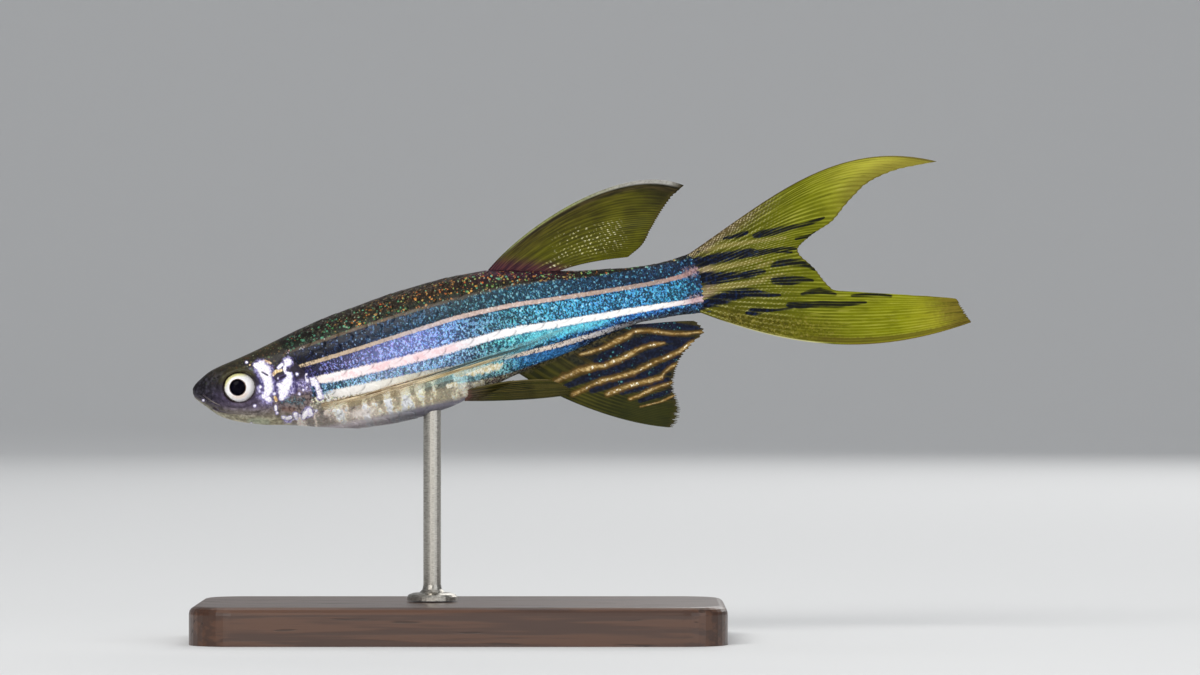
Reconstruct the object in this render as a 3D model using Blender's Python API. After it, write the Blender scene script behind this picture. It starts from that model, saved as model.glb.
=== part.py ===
"""A zebra danio, long-finned adult, modelled whole at life size and held head-down on a plain display stand.

The fish is laid out in its own body frame, in millimetres: s runs from the tip of the snout back along the
body, t is up towards the back, and y is the width, with the left flank at -y. place() turns that frame into
the model's frame: +Z up, the snout towards -X, the origin on the underside of the stand's base.
"""

import math

import bmesh
import bpy
import numpy as np
from mathutils import Matrix, Vector

for old in list(bpy.data.objects):
    bpy.data.objects.remove(old, do_unlink=True)

MM = 0.001

# ---------------------------------------------------------------- driving sizes, in millimetres and degrees
STANDARD_LENGTH = 35.0  # snout to the base of the tail fin
PITCH = 11.85  # the body slopes down towards the snout by this much
SNOUT_X, SNOUT_Z = -18.2, 16.9  # where the tip of the snout stands in the model's frame
TAIL_SWEEP = 0.55  # how far the tail swings to the right at the base of the tail fin
SWEEP_FROM = 12.0  # the spine is straight ahead of this
CUT = 0.2  # the thin gap that parts one piece of flesh from the next
FIN = 0.5  # thickness of every fin
BARBEL = 0.5  # diameter of every barbel
HEAD_END = 8.1  # the cut behind the gill covers
TRUNK_END = 21.3  # the cut at the vent, in front of the anal fin

EYE_AT = (3.26, -0.45)  # s and t of the middle of the eye
EYE_RADIUS = 1.10
EYE_DEPTH = 0.66  # half its depth, across the head
EYE_OUT = 1.12  # how far the eye's middle lies from the midline
SOCKET = 0.16  # clearance round the eyeball

BASE_LENGTH, BASE_WIDTH, BASE_HEIGHT = 36.0, 18.0, 2.6
BASE_CORNER, BASE_EDGE = 3.0, 0.55
ROD_RADIUS = 0.6
FOOT_RADIUS, FOOT_HEIGHT = 1.7, 0.5  # the rod's turned foot
ROD_AT_S = 15.6  # the rod stands just ahead of the fish's balance point
ROD_IN = 1.3  # how deep it goes into the belly
ROD_CLEAR = 0.2

# The trunk's lofting stations: s, top of the back, bottom of the belly, half width, height of the widest
# point, and how square the upper and the lower half of the section are (2 is an ellipse).
STATIONS = [
    (0.00, -0.16, -0.16, 0.00, -0.16, 2.2, 2.1),
    (0.05, 0.11, -0.48, 0.33, -0.18, 2.2, 2.1),
    (0.30, 0.41, -0.84, 0.68, -0.25, 2.3, 2.1),
    (0.75, 0.70, -1.34, 0.98, -0.36, 2.4, 2.1),
    (1.50, 1.08, -2.10, 1.28, -0.44, 2.5, 2.1),
    (2.20, 1.27, -2.52, 1.45, -0.46, 2.6, 2.1),
    (3.20, 1.47, -2.93, 1.61, -0.46, 2.6, 2.1),
    (4.40, 1.73, -3.30, 1.79, -0.48, 2.6, 2.1),
    (5.80, 2.08, -3.62, 1.99, -0.50, 2.5, 2.1),
    (7.30, 2.47, -4.03, 2.14, -0.50, 2.4, 2.1),
    (9.30, 2.95, -4.60, 2.25, -0.50, 2.3, 2.0),
    (11.0, 3.23, -4.92, 2.29, -0.50, 2.2, 2.0),
    (13.0, 3.53, -5.05, 2.28, -0.48, 2.2, 2.0),
    (15.0, 3.78, -4.98, 2.22, -0.42, 2.1, 2.0),
    (17.0, 3.94, -4.73, 2.11, -0.34, 2.1, 2.0),
    (19.0, 4.02, -4.18, 1.96, -0.20, 2.1, 2.0),
    (21.0, 3.96, -3.68, 1.77, -0.08, 2.1, 2.0),
    (23.0, 3.58, -3.24, 1.55, 0.02, 2.1, 2.0),
    (25.0, 3.12, -2.85, 1.32, 0.08, 2.1, 2.0),
    (27.0, 2.72, -2.48, 1.09, 0.10, 2.1, 2.0),
    (29.0, 2.40, -2.03, 0.88, 0.12, 2.1, 2.0),
    (31.0, 2.13, -1.77, 0.72, 0.14, 2.1, 2.0),
    (32.5, 2.03, -1.79, 0.62, 0.12, 2.1, 2.0),
    (34.0, 2.13, -1.90, 0.52, 0.10, 2.1, 2.0),
    (35.0, 2.27, -2.00, 0.42, 0.08, 2.1, 2.0),
]


# ---------------------------------------------------------------- curves
def steady(xs, ys):
    """A smooth curve through the points that never overshoots them."""
    xs, ys = np.asarray(xs, float), np.asarray(ys, float)
    h = np.diff(xs)
    d = np.diff(ys) / h
    m = np.zeros(len(xs))
    m[0], m[-1] = d[0], d[-1]
    for i in range(1, len(xs) - 1):
        if d[i - 1] * d[i] > 0:
            a, b = 2 * h[i] + h[i - 1], h[i] + 2 * h[i - 1]
            m[i] = (a + b) / (a / d[i - 1] + b / d[i])

    def at(x):
        x = min(max(float(x), xs[0]), xs[-1])
        i = min(int(np.searchsorted(xs, x, side="right")) - 1, len(h) - 1)
        u = (x - xs[i]) / h[i]
        return (
            (1 + 2 * u) * (1 - u) ** 2 * ys[i]
            + u * (1 - u) ** 2 * h[i] * m[i]
            + u * u * (3 - 2 * u) * ys[i + 1]
            + u * u * (u - 1) * h[i] * m[i + 1]
        )

    return at


# The root of s is used as the loft's parameter, which rounds the snout.
_roots = [math.sqrt(row[0]) for row in STATIONS]
TOP, BOTTOM, HALF, WIDEST, SQUARE_UP, SQUARE_LOW = (
    steady(_roots, [row[k] for row in STATIONS]) for k in range(1, 7)
)


def section(s):
    r = math.sqrt(max(s, 0.0))
    return TOP(r), BOTTOM(r), HALF(r), WIDEST(r), SQUARE_UP(r), SQUARE_LOW(r)


def power(v, n):
    return math.copysign(abs(v) ** (2.0 / n), v)


def skin_point(s, angle):
    """A point of the body's surface: angle 0 is the ridge of the back, pi the keel of the belly."""
    top, bottom, half, widest, up, low = section(s)
    c, d = math.cos(angle), math.sin(angle)
    n = up if c >= 0 else low
    height = top - widest if c >= 0 else widest - bottom
    return s, half * power(d, n), widest + height * power(c, n)


def half_width(s, t):
    """How far the flank lies from the midline at that height, or 0 above the back and under the belly."""
    top, bottom, half, widest, up, low = section(s)
    if t >= widest:
        share, n = (t - widest) / max(top - widest, 1e-6), up
    else:
        share, n = (widest - t) / max(widest - bottom, 1e-6), low
    return 0.0 if share >= 1 else half * (1 - share**n) ** (1 / n)


def sweep(s):
    return TAIL_SWEEP * (max(s - SWEEP_FROM, 0.0) / (STANDARD_LENGTH - SWEEP_FROM)) ** 2


def place(s, y, t):
    """Body frame, in millimetres, to the model's frame, in metres."""
    a = math.radians(PITCH)
    return Vector(
        (
            SNOUT_X + s * math.cos(a) - t * math.sin(a),
            y + sweep(s),
            SNOUT_Z + s * math.sin(a) + t * math.cos(a),
        )
    ) * MM


def bezier(p, u):
    a, b, c, d = (1 - u) ** 3, 3 * u * (1 - u) ** 2, 3 * u * u * (1 - u), u**3
    return tuple(a * p[0][k] + b * p[1][k] + c * p[2][k] + d * p[3][k] for k in (0, 1))


# ---------------------------------------------------------------- materials
def material(name, colour, roughness, metallic=0.0):
    made = bpy.data.materials.new(name)
    made.use_nodes = True
    shader = made.node_tree.nodes["Principled BSDF"]
    shader.inputs["Base Color"].default_value = (*colour, 1.0)
    shader.inputs["Roughness"].default_value = roughness
    shader.inputs["Metallic"].default_value = metallic
    return made


HEAD_SKIN = material("head_skin", (0.20, 0.19, 0.22), 0.35, 0.3)
FLANK_SKIN = material("flank_skin", (0.12, 0.24, 0.42), 0.35, 0.4)
TAIL_SKIN = material("tail_skin", (0.08, 0.26, 0.46), 0.35, 0.4)
JAW_SKIN = material("jaw_skin", (0.42, 0.40, 0.36), 0.40, 0.1)
GILL_SILVER = material("gill_silver", (0.72, 0.70, 0.78), 0.25, 0.6)
EYE_SILVER = material("eye_silver", (0.85, 0.82, 0.74), 0.15, 0.3)
FIN_FILM = material("fin_film", (0.38, 0.35, 0.09), 0.35)
ANAL_FILM = material("anal_film", (0.16, 0.17, 0.12), 0.35)
PAIRED_FILM = material("paired_film", (0.50, 0.42, 0.20), 0.35)
BARBEL_SKIN = material("barbel_skin", (0.30, 0.26, 0.24), 0.45)
BASE_WOOD = material("base_wood", (0.09, 0.045, 0.025), 0.35)
ROD_METAL = material("rod_metal", (0.62, 0.60, 0.56), 0.25, 1.0)


# ---------------------------------------------------------------- meshes
def solid(name, points, faces, look, smooth=True):
    mesh = bpy.data.meshes.new(name)
    mesh.from_pydata([tuple(p) for p in points], [], faces)
    cleaner = bmesh.new()
    cleaner.from_mesh(mesh)
    bmesh.ops.recalc_face_normals(cleaner, faces=cleaner.faces[:])
    cleaner.to_mesh(mesh)
    cleaner.free()
    if smooth:
        mesh.shade_smooth()
        mesh.set_sharp_from_angle(angle=math.radians(50))
    mesh.materials.append(look)
    made = bpy.data.objects.new(name, mesh)
    bpy.context.scene.collection.objects.link(made)
    return made


AROUND = 28


def loft(name, rings_at, look, nose=False):
    """A length of the body: rings of the section at each s, closed by a flat face or by the tip of the snout."""
    points, faces = [], []
    for s in rings_at:
        for k in range(AROUND):
            points.append(place(*skin_point(s, 2 * math.pi * k / AROUND)))
    for i in range(len(rings_at) - 1):
        for k in range(AROUND):
            a, b = i * AROUND + k, i * AROUND + (k + 1) % AROUND
            faces.append((a, b, b + AROUND, a + AROUND))
    if nose:
        tip = len(points)
        points.append(place(0.0, 0.0, WIDEST(0.0)))
        faces += [(tip, (k + 1) % AROUND, k) for k in range(AROUND)]
    else:
        faces.append(tuple(range(AROUND)))
    last = (len(rings_at) - 1) * AROUND
    faces.append(tuple(last + k for k in reversed(range(AROUND))))
    return solid(name, points, faces, look)


def steps(start, end, count):
    return [start + (end - start) * k / (count - 1) for k in range(count)]


def prism(name, outline, y_low, y_high):
    """A cutter: an outline in the body frame's s and t, run across the body from y_low to y_high."""
    n = len(outline)
    points = [place(s, y_low, t) for s, t in outline] + [
        place(s, y_high, t) for s, t in outline
    ]
    faces = [tuple(range(n)), tuple(n + k for k in reversed(range(n)))]
    faces += [(k, (k + 1) % n, n + (k + 1) % n, n + k) for k in range(n)]
    return helper(solid(name, points, faces, BASE_WOOD, smooth=False))


def helper(obj):
    obj.hide_render = True
    obj.display_type = "WIRE"
    return obj


def ellipsoid(name, s, y, t, radius, depth, look, around=20, bands=11):
    """An eyeball, or the cutter of its socket: round from the side and lens-shaped from the front."""
    points, faces = [place(s, y - depth, t)], []
    for i in range(1, bands):
        lat = math.pi * i / bands
        for k in range(around):
            lon = 2 * math.pi * k / around
            points.append(
                place(
                    s + radius * math.sin(lat) * math.cos(lon),
                    y - depth * math.cos(lat),
                    t + radius * math.sin(lat) * math.sin(lon),
                )
            )
    points.append(place(s, y + depth, t))
    end = len(points) - 1
    for k in range(around):
        n = (k + 1) % around
        faces.append((0, 1 + n, 1 + k))
        faces.append((end, end - around + k, end - around + n))
        for i in range(bands - 2):
            a = 1 + i * around
            faces.append((a + k, a + n, a + around + n, a + around + k))
    return solid(name, points, faces, look)


def boolean(obj, operation, cutter):
    modifier = obj.modifiers.new(f"{operation.lower()}_{cutter.name}", "BOOLEAN")
    modifier.operation = operation
    modifier.object = cutter
    modifier.solver = "EXACT"


# ---------------------------------------------------------------- head, lower jaw and gill covers
HEAD_RINGS = [0.015, 0.06, 0.15, 0.3, 0.6, 1.0, 1.5, 2.1, 2.8, 3.6, 4.5, 5.4, 6.3, 7.2, HEAD_END - CUT / 2]

# The mouth is upturned: its cleft slants steeply from the snout to a corner in front of the eye.
JAW_OUTLINE = [(-0.6, 0.04), (0.15, -0.08), (1.15, -1.12), (2.95, -2.02), (3.05, -3.6), (-0.6, -3.6)]
JAW_SOCKET = [
    (-0.7, 0.20),
    (0.23, 0.08),
    (1.27, -0.97),
    (3.12, -1.90),
    (3.25, -3.8),
    (-0.7, -3.8),
]
GILL_AT, GILL_LONG, GILL_HIGH, GILL_SQUARE = (6.15, -1.02), 1.62, 2.1, 2.6
GILL_INSIDE = 0.95  # the gill cover's flat inner face lies this far from the midline


def gill_outline(grow, count=22):
    out = []
    for k in range(count):
        a = 2 * math.pi * k / count
        out.append(
            (
                GILL_AT[0] + (GILL_LONG + grow) * power(math.cos(a), GILL_SQUARE),
                GILL_AT[1] + (GILL_HIGH + grow) * power(math.sin(a), GILL_SQUARE),
            )
        )
    return out


head = loft("head", HEAD_RINGS, HEAD_SKIN, nose=True)
lower_jaw = loft("lower_jaw", HEAD_RINGS, JAW_SKIN, nose=True)
boolean(lower_jaw, "INTERSECT", prism("jaw_cutter", JAW_OUTLINE, -3.5, 3.5))
boolean(head, "DIFFERENCE", prism("jaw_socket_cutter", JAW_SOCKET, -3.5, 3.5))
for side, sign in (("l", -1), ("r", 1)):
    near, far = sorted((sign * GILL_INSIDE, sign * 4.0))
    cover = loft(f"gill_cover_{side}", HEAD_RINGS, GILL_SILVER, nose=True)
    boolean(cover, "INTERSECT", prism(f"gill_cutter_{side}", gill_outline(0.0), near, far))
    near, far = sorted((sign * (GILL_INSIDE - CUT), sign * 4.2))
    boolean(head, "DIFFERENCE", prism(f"gill_bed_cutter_{side}", gill_outline(CUT), near, far))
    ellipsoid(f"eye_{side}", EYE_AT[0], sign * EYE_OUT, EYE_AT[1], EYE_RADIUS, EYE_DEPTH, EYE_SILVER)
    boolean(
        head,
        "DIFFERENCE",
        helper(
            ellipsoid(
                f"socket_cutter_{side}",
                EYE_AT[0],
                sign * EYE_OUT,
                EYE_AT[1],
                EYE_RADIUS + SOCKET,
                EYE_DEPTH + SOCKET,
                EYE_SILVER,
            )
        ),
    )

# ---------------------------------------------------------------- trunk and tail
trunk = loft("trunk", steps(HEAD_END + CUT / 2, TRUNK_END - CUT / 2, 15), FLANK_SKIN)
tail = loft("tail", steps(TRUNK_END + CUT / 2, STANDARD_LENGTH, 13), TAIL_SKIN)


# ---------------------------------------------------------------- fins
def across(rays, f):
    """The ray at share f of the way across a fin, between its guide rays: four control points each."""
    shares = [r[0] for r in rays]
    ray = []
    for k in range(4):
        ray.append(tuple(steady(shares, [r[1][k][c] for r in rays])(f) for c in (0, 1)))
    return ray


def fin_solid(name, rays, columns, rows, side_of, look):
    """A fin: a sheet that follows its guide rays, as thick as FIN and closed all round.
    side_of(s, t, f, r) is how far the sheet lies from the midline."""
    shares = []
    for i in range(columns):
        shares.append(i / (columns - 1))
    middle = []
    for f in shares:
        ray = across(rays, f)
        line = []
        for j in range(rows):
            r = j / (rows - 1)
            s, t = bezier(ray, r)
            line.append(Vector(place(s, side_of(s, t, f, r), t)))
        middle.append(line)
    front, back = [], []
    for i in range(columns):
        for j in range(rows):
            along = middle[i][min(j + 1, rows - 1)] - middle[i][max(j - 1, 0)]
            over = middle[min(i + 1, columns - 1)][j] - middle[max(i - 1, 0)][j]
            normal = along.cross(over).normalized()
            if abs(normal.y) > 0.97:  # a median fin stands upright, so its two faces stay parallel
                normal = Vector((0, math.copysign(1, normal.y), 0))
            front.append(middle[i][j] + normal * FIN / 2 * MM)
            back.append(middle[i][j] - normal * FIN / 2 * MM)
    points = front + back
    n = len(front)
    faces = []
    for i in range(columns - 1):
        for j in range(rows - 1):
            a = i * rows + j
            faces.append((a, a + 1, a + rows + 1, a + rows))
            faces.append((n + a, n + a + rows, n + a + rows + 1, n + a + 1))
    rim = [j for j in range(rows)]
    rim += [i * rows + rows - 1 for i in range(1, columns)]
    rim += [(columns - 1) * rows + j for j in reversed(range(rows - 1))]
    rim += [i * rows for i in reversed(range(1, columns - 1))]
    for a, b in zip(rim, rim[1:] + rim[:1]):
        faces.append((a, n + a, n + b, b))
    return solid(name, points, faces, look)


def upright(s, t, f, r):
    return 0.0


def over_back(s):
    return section(s)[0] + CUT


def under_belly(s):
    return section(s)[1] - CUT


# Guide rays: the share of the way across the fin, then the ray's root, two controls and its tip.
DORSAL = [
    (0.00, [(21.0, over_back(21.0)), (23.5, 5.9), (31.5, 9.5), (35.5, 6.80)]),
    (0.15, [(21.6, over_back(21.6)), (24.3, 5.5), (30.3, 7.95), (34.4, 6.05)]),
    (0.35, [(22.5, over_back(22.5)), (25.0, 5.0), (29.0, 6.4), (33.5, 5.20)]),
    (0.60, [(23.6, over_back(23.6)), (26.0, 4.3), (29.2, 4.9), (32.7, 4.30)]),
    (0.80, [(24.5, over_back(24.5)), (26.6, 3.7), (29.2, 3.9), (31.9, 3.40)]),
    (1.00, [(25.4, over_back(25.4)), (27.0, 3.1), (29.0, 3.0), (30.8, 2.80)]),
]
ANAL = [
    (0.00, [(21.7, under_belly(21.7)), (23.8, -5.4), (28.0, -8.3), (31.6, -9.2)]),
    (0.25, [(23.6, under_belly(23.6)), (25.4, -4.8), (29.0, -7.2), (32.2, -8.0)]),
    (0.50, [(25.6, under_belly(25.6)), (27.2, -4.2), (30.0, -5.9), (32.1, -6.5)]),
    (0.75, [(27.5, under_belly(27.5)), (28.9, -3.4), (31.0, -4.6), (32.8, -4.8)]),
    (0.88, [(28.5, under_belly(28.5)), (30.1, -2.75), (32.2, -3.5), (34.0, -3.8)]),
    (0.94, [(29.0, under_belly(29.0)), (30.8, -2.35), (32.8, -2.85), (34.9, -3.12)]),
    (1.00, [(29.6, under_belly(29.6)), (31.0, -1.98), (32.9, -1.98), (34.45, -2.40)]),
]
TAIL_ROOT = STANDARD_LENGTH + CUT
CAUDAL = [
    (0.00, [(TAIL_ROOT, 2.30), (41.6, 5.0), (46.5, 7.8), (52.7, 4.88)]),
    (0.06, [(TAIL_ROOT, 2.05), (41.2, 4.3), (45.8, 6.9), (50.5, 4.90)]),
    (0.13, [(TAIL_ROOT, 1.75), (40.6, 3.5), (44.8, 5.8), (48.3, 4.57)]),
    (0.20, [(TAIL_ROOT, 1.45), (39.8, 2.7), (43.6, 4.3), (46.6, 3.68)]),
    (0.28, [(TAIL_ROOT, 1.10), (39.0, 1.9), (42.0, 2.9), (44.9, 2.35)]),
    (0.37, [(TAIL_ROOT, 0.75), (38.2, 1.2), (40.8, 1.9), (43.2, 1.65)]),
    (0.46, [(TAIL_ROOT, 0.35), (37.5, 0.5), (40.0, 1.0), (42.2, 0.85)]),
    (0.55, [(TAIL_ROOT, -0.05), (37.5, -0.1), (40.4, -0.1), (43.1, -0.60)]),
    (0.64, [(TAIL_ROOT, -0.45), (38.0, -0.8), (41.2, -1.3), (43.95, -2.15)]),
    (0.70, [(TAIL_ROOT, -0.70), (40.0, -1.55), (44.6, -2.55), (52.1, -4.55)]),
    (0.80, [(TAIL_ROOT, -1.15), (40.0, -2.8), (44.8, -4.1), (52.3, -5.00)]),
    (0.90, [(TAIL_ROOT, -1.60), (39.8, -4.0), (44.8, -5.8), (52.6, -5.80)]),
    (1.00, [(TAIL_ROOT, -1.98), (39.8, -5.1), (45.0, -7.4), (52.75, -6.32)]),
]
PECTORAL = [
    (0.00, [(8.55, -2.62), (12.5, -2.60), (20.0, -1.80), (26.1, -0.85)]),
    (0.50, [(8.50, -2.84), (12.5, -3.05), (19.5, -2.35), (25.3, -1.30)]),
    (1.00, [(8.45, -3.06), (12.5, -3.70), (17.5, -2.95), (23.4, -1.85)]),
]
PELVIC = [
    (0.00, [(18.15, -3.78), (20.0, -3.68), (22.2, -3.76), (24.0, -4.25)]),
    (0.50, [(18.05, -4.20), (20.2, -4.42), (22.8, -4.85), (25.3, -5.22)]),
    (1.00, [(17.95, -4.48), (20.2, -4.95), (22.6, -5.40), (25.2, -5.55)]),
]

fin_solid("fin_dorsal", DORSAL, 15, 10, upright, FIN_FILM)
fin_solid("fin_anal", ANAL, 15, 10, upright, ANAL_FILM)
fin_solid("fin_caudal", CAUDAL, 27, 13, upright, FIN_FILM)

CLEAR = CUT + FIN / 2  # a paired fin's middle keeps this from the flank


def pectoral_out(s, t, f, r):
    """The pectoral fin lies back along the flank. Its upper edge stays close and its lower edge stands off."""
    flank = max(half_width(s, t + up) for up in (-0.3, 0.0, 0.4, 0.8, 1.2))
    stand_off = 0.10 + 0.45 * r + 0.30 * f * math.sin(math.pi * min(r * 1.15, 1.0))
    return flank + CLEAR + stand_off * min(1.0, 0.25 + 2.5 * r)


def pelvic_out(s, t, f, r):
    flank = max(half_width(s, t), half_width(s, t + 0.35))
    return max(flank + CLEAR + 0.05, 0.78 + 0.25 * r)


for side, sign in (("l", -1), ("r", 1)):
    fin_solid(
        f"fin_pectoral_{side}",
        PECTORAL,
        5,
        17,
        lambda s, t, f, r, g=sign: g * pectoral_out(s, t, f, r),
        PAIRED_FILM,
    )
    fin_solid(
        f"fin_pelvic_{side}",
        PELVIC,
        5,
        10,
        lambda s, t, f, r, g=sign: g * pelvic_out(s, t, f, r),
        PAIRED_FILM,
    )


# ---------------------------------------------------------------- barbels
def barbel(name, path, sign, look):
    """A short feeler that lies back against the cheek, as a tube along a smooth curve."""
    curve = bpy.data.curves.new(name, "CURVE")
    curve.dimensions = "3D"
    curve.bevel_depth = BARBEL / 2 * MM
    curve.bevel_resolution = 2
    curve.use_fill_caps = True
    line = curve.splines.new("POLY")
    count = 7
    line.points.add(count - 1)
    for k in range(count):
        s, t = bezier(path, k / (count - 1))
        out = half_width(s, t) + BARBEL / 2 + CUT
        line.points[k].co = (*place(s, sign * out, t), 1.0)
    curve.materials.append(look)
    made = bpy.data.objects.new(name, curve)
    bpy.context.scene.collection.objects.link(made)


SNOUT_BARBEL = [(0.75, -0.42), (1.05, -0.78), (1.35, -1.10), (1.75, -1.35)]
MOUTH_BARBEL = [(1.20, -1.45), (1.90, -2.00), (2.90, -2.10), (4.00, -2.45)]
for side, sign in (("l", -1), ("r", 1)):
    barbel(f"barbel_snout_{side}", SNOUT_BARBEL, sign, BARBEL_SKIN)
    barbel(f"barbel_mouth_{side}", MOUTH_BARBEL, sign, BARBEL_SKIN)


# ---------------------------------------------------------------- display stand
def slab(name, length, width, height, corner, edge, look):
    """A flat base with rounded corners and a bevelled top edge, its underside at the model's floor."""
    outline = []
    for quarter in range(4):
        cx = (length / 2 - corner) * (1 if quarter in (0, 3) else -1)
        cy = (width / 2 - corner) * (1 if quarter in (0, 1) else -1)
        for k in range(10):
            a = math.pi / 2 * (quarter + k / 9)
            outline.append((cx, cy, math.cos(a), math.sin(a)))
    levels = [(0.0, 0.0)]
    for k in range(5):
        a = math.pi / 2 * k / 4
        levels.append((height - edge * (1 - math.sin(a)), -edge * (1 - math.cos(a))))
    points, faces = [], []
    for z, grow in levels:
        for cx, cy, dx, dy in outline:
            reach = corner + grow
            points.append(Vector((cx + reach * dx, cy + reach * dy, z)) * MM)
    n = len(outline)
    for i in range(len(levels) - 1):
        for k in range(n):
            a, b = i * n + k, i * n + (k + 1) % n
            faces.append((a, b, b + n, a + n))
    faces.append(tuple(reversed(range(n))))
    faces.append(tuple((len(levels) - 1) * n + k for k in range(n)))
    return solid(name, points, faces, look)


def turned(name, x, y, profile, look, sides=32):
    """An upright turned solid: its profile as heights and radii, from the bottom up."""
    points, faces = [], []
    for z, radius in profile:
        for k in range(sides):
            a = 2 * math.pi * k / sides
            points.append(Vector((x + radius * math.cos(a), y + radius * math.sin(a), z)) * MM)
    for i in range(len(profile) - 1):
        for k in range(sides):
            a, b = i * sides + k, i * sides + (k + 1) % sides
            faces.append((a, b, b + sides, a + sides))
    faces.append(tuple(reversed(range(sides))))
    faces.append(tuple((len(profile) - 1) * sides + k for k in range(sides)))
    return solid(name, points, faces, look)


belly = place(ROD_AT_S, 0.0, section(ROD_AT_S)[1]) / MM
slab("stand_base", BASE_LENGTH, BASE_WIDTH, BASE_HEIGHT, BASE_CORNER, BASE_EDGE, BASE_WOOD)
foot = BASE_HEIGHT + CUT / 2
turned(
    "stand_rod",
    belly.x,
    belly.y,
    [
        (foot, FOOT_RADIUS),
        (foot + 0.5 * FOOT_HEIGHT, FOOT_RADIUS),
        (foot + 0.8 * FOOT_HEIGHT, FOOT_RADIUS - 0.12),
        (foot + FOOT_HEIGHT, FOOT_RADIUS - 0.40),
        (foot + 1.1 * FOOT_HEIGHT, ROD_RADIUS + 0.25),
        (foot + 1.5 * FOOT_HEIGHT, ROD_RADIUS + 0.06),
        (foot + 2.1 * FOOT_HEIGHT, ROD_RADIUS),
        (belly.z + ROD_IN, ROD_RADIUS),
    ],
    ROD_METAL,
)
boolean(
    trunk,
    "DIFFERENCE",
    helper(
        turned(
            "rod_hole_cutter",
            belly.x,
            belly.y,
            [
                (belly.z - 3.0, ROD_RADIUS + ROD_CLEAR),
                (belly.z + ROD_IN + ROD_CLEAR, ROD_RADIUS + ROD_CLEAR),
            ],
            ROD_METAL,
        )
    ),
)
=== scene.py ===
"""Looks of the long-finned zebra danio on its display stand.

Lengths are millimetres in the body's own frame until place() turns them into the model's metres: s runs back
from the tip of the snout, t is up towards the back, y is the width with the left flank at -y.
"""

import math

import bpy
import numpy as np
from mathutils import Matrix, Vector


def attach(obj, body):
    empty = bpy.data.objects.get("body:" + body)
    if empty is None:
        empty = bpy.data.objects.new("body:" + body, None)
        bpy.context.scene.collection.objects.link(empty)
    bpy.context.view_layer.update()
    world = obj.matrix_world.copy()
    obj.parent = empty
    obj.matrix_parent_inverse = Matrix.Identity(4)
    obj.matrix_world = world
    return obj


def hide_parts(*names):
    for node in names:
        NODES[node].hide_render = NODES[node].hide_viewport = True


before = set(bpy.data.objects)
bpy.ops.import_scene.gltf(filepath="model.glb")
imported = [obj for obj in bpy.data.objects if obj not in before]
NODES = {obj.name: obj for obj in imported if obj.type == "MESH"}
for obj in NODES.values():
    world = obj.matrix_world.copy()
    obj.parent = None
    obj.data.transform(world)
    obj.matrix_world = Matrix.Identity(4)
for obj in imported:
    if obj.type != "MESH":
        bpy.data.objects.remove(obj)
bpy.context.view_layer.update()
MM = 0.001

# ---------------------------------------------------------------- sizes shared with the solids
STANDARD_LENGTH = 35.0
PITCH = math.radians(11.85)
SNOUT_X, SNOUT_Z = -18.2, 16.9
TAIL_SWEEP, SWEEP_FROM = 0.55, 12.0
CUT, FIN = 0.2, 0.5
EYE_AT, EYE_RADIUS, EYE_DEPTH, EYE_OUT = (3.26, -0.45), 1.10, 0.66, 1.12
EYE_WIDE, EYE_TALL = 1.03, 0.955  # the eye is a little longer than tall
PUPIL = 0.50
PUPIL_TALL = 0.12  # the pupil is this much taller than wide
PUPIL_AHEAD, PUPIL_UP = 0.10, 0.03  # the pupil sits a little ahead of the middle of the ring
STATIONS = [
    (0.00, -0.16, -0.16, 0.00, -0.16, 2.2, 2.1),
    (0.05, 0.11, -0.48, 0.33, -0.18, 2.2, 2.1),
    (0.30, 0.41, -0.84, 0.68, -0.25, 2.3, 2.1),
    (0.75, 0.70, -1.34, 0.98, -0.36, 2.4, 2.1),
    (1.50, 1.08, -2.10, 1.28, -0.44, 2.5, 2.1),
    (2.20, 1.27, -2.52, 1.45, -0.46, 2.6, 2.1),
    (3.20, 1.47, -2.93, 1.61, -0.46, 2.6, 2.1),
    (4.40, 1.73, -3.30, 1.79, -0.48, 2.6, 2.1),
    (5.80, 2.08, -3.62, 1.99, -0.50, 2.5, 2.1),
    (7.30, 2.47, -4.03, 2.14, -0.50, 2.4, 2.1),
    (9.30, 2.95, -4.60, 2.25, -0.50, 2.3, 2.0),
    (11.0, 3.23, -4.92, 2.29, -0.50, 2.2, 2.0),
    (13.0, 3.53, -5.05, 2.28, -0.48, 2.2, 2.0),
    (15.0, 3.78, -4.98, 2.22, -0.42, 2.1, 2.0),
    (17.0, 3.94, -4.73, 2.11, -0.34, 2.1, 2.0),
    (19.0, 4.02, -4.18, 1.96, -0.20, 2.1, 2.0),
    (21.0, 3.96, -3.68, 1.77, -0.08, 2.1, 2.0),
    (23.0, 3.58, -3.24, 1.55, 0.02, 2.1, 2.0),
    (25.0, 3.12, -2.85, 1.32, 0.08, 2.1, 2.0),
    (27.0, 2.72, -2.48, 1.09, 0.10, 2.1, 2.0),
    (29.0, 2.40, -2.03, 0.88, 0.12, 2.1, 2.0),
    (31.0, 2.13, -1.77, 0.72, 0.14, 2.1, 2.0),
    (32.5, 2.03, -1.79, 0.62, 0.12, 2.1, 2.0),
    (34.0, 2.13, -1.90, 0.52, 0.10, 2.1, 2.0),
    (35.0, 2.27, -2.00, 0.42, 0.08, 2.1, 2.0),
]

# The camera looks straight at the left flank, as in the photograph.
CAMERA_FAR = 400.0  # from the fish's midline
CAMERA_X, CAMERA_Z = 9.46, 20.51
PIXELS = 14.75  # pixels of the 1200 x 675 picture to the millimetre, at the midline


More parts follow.
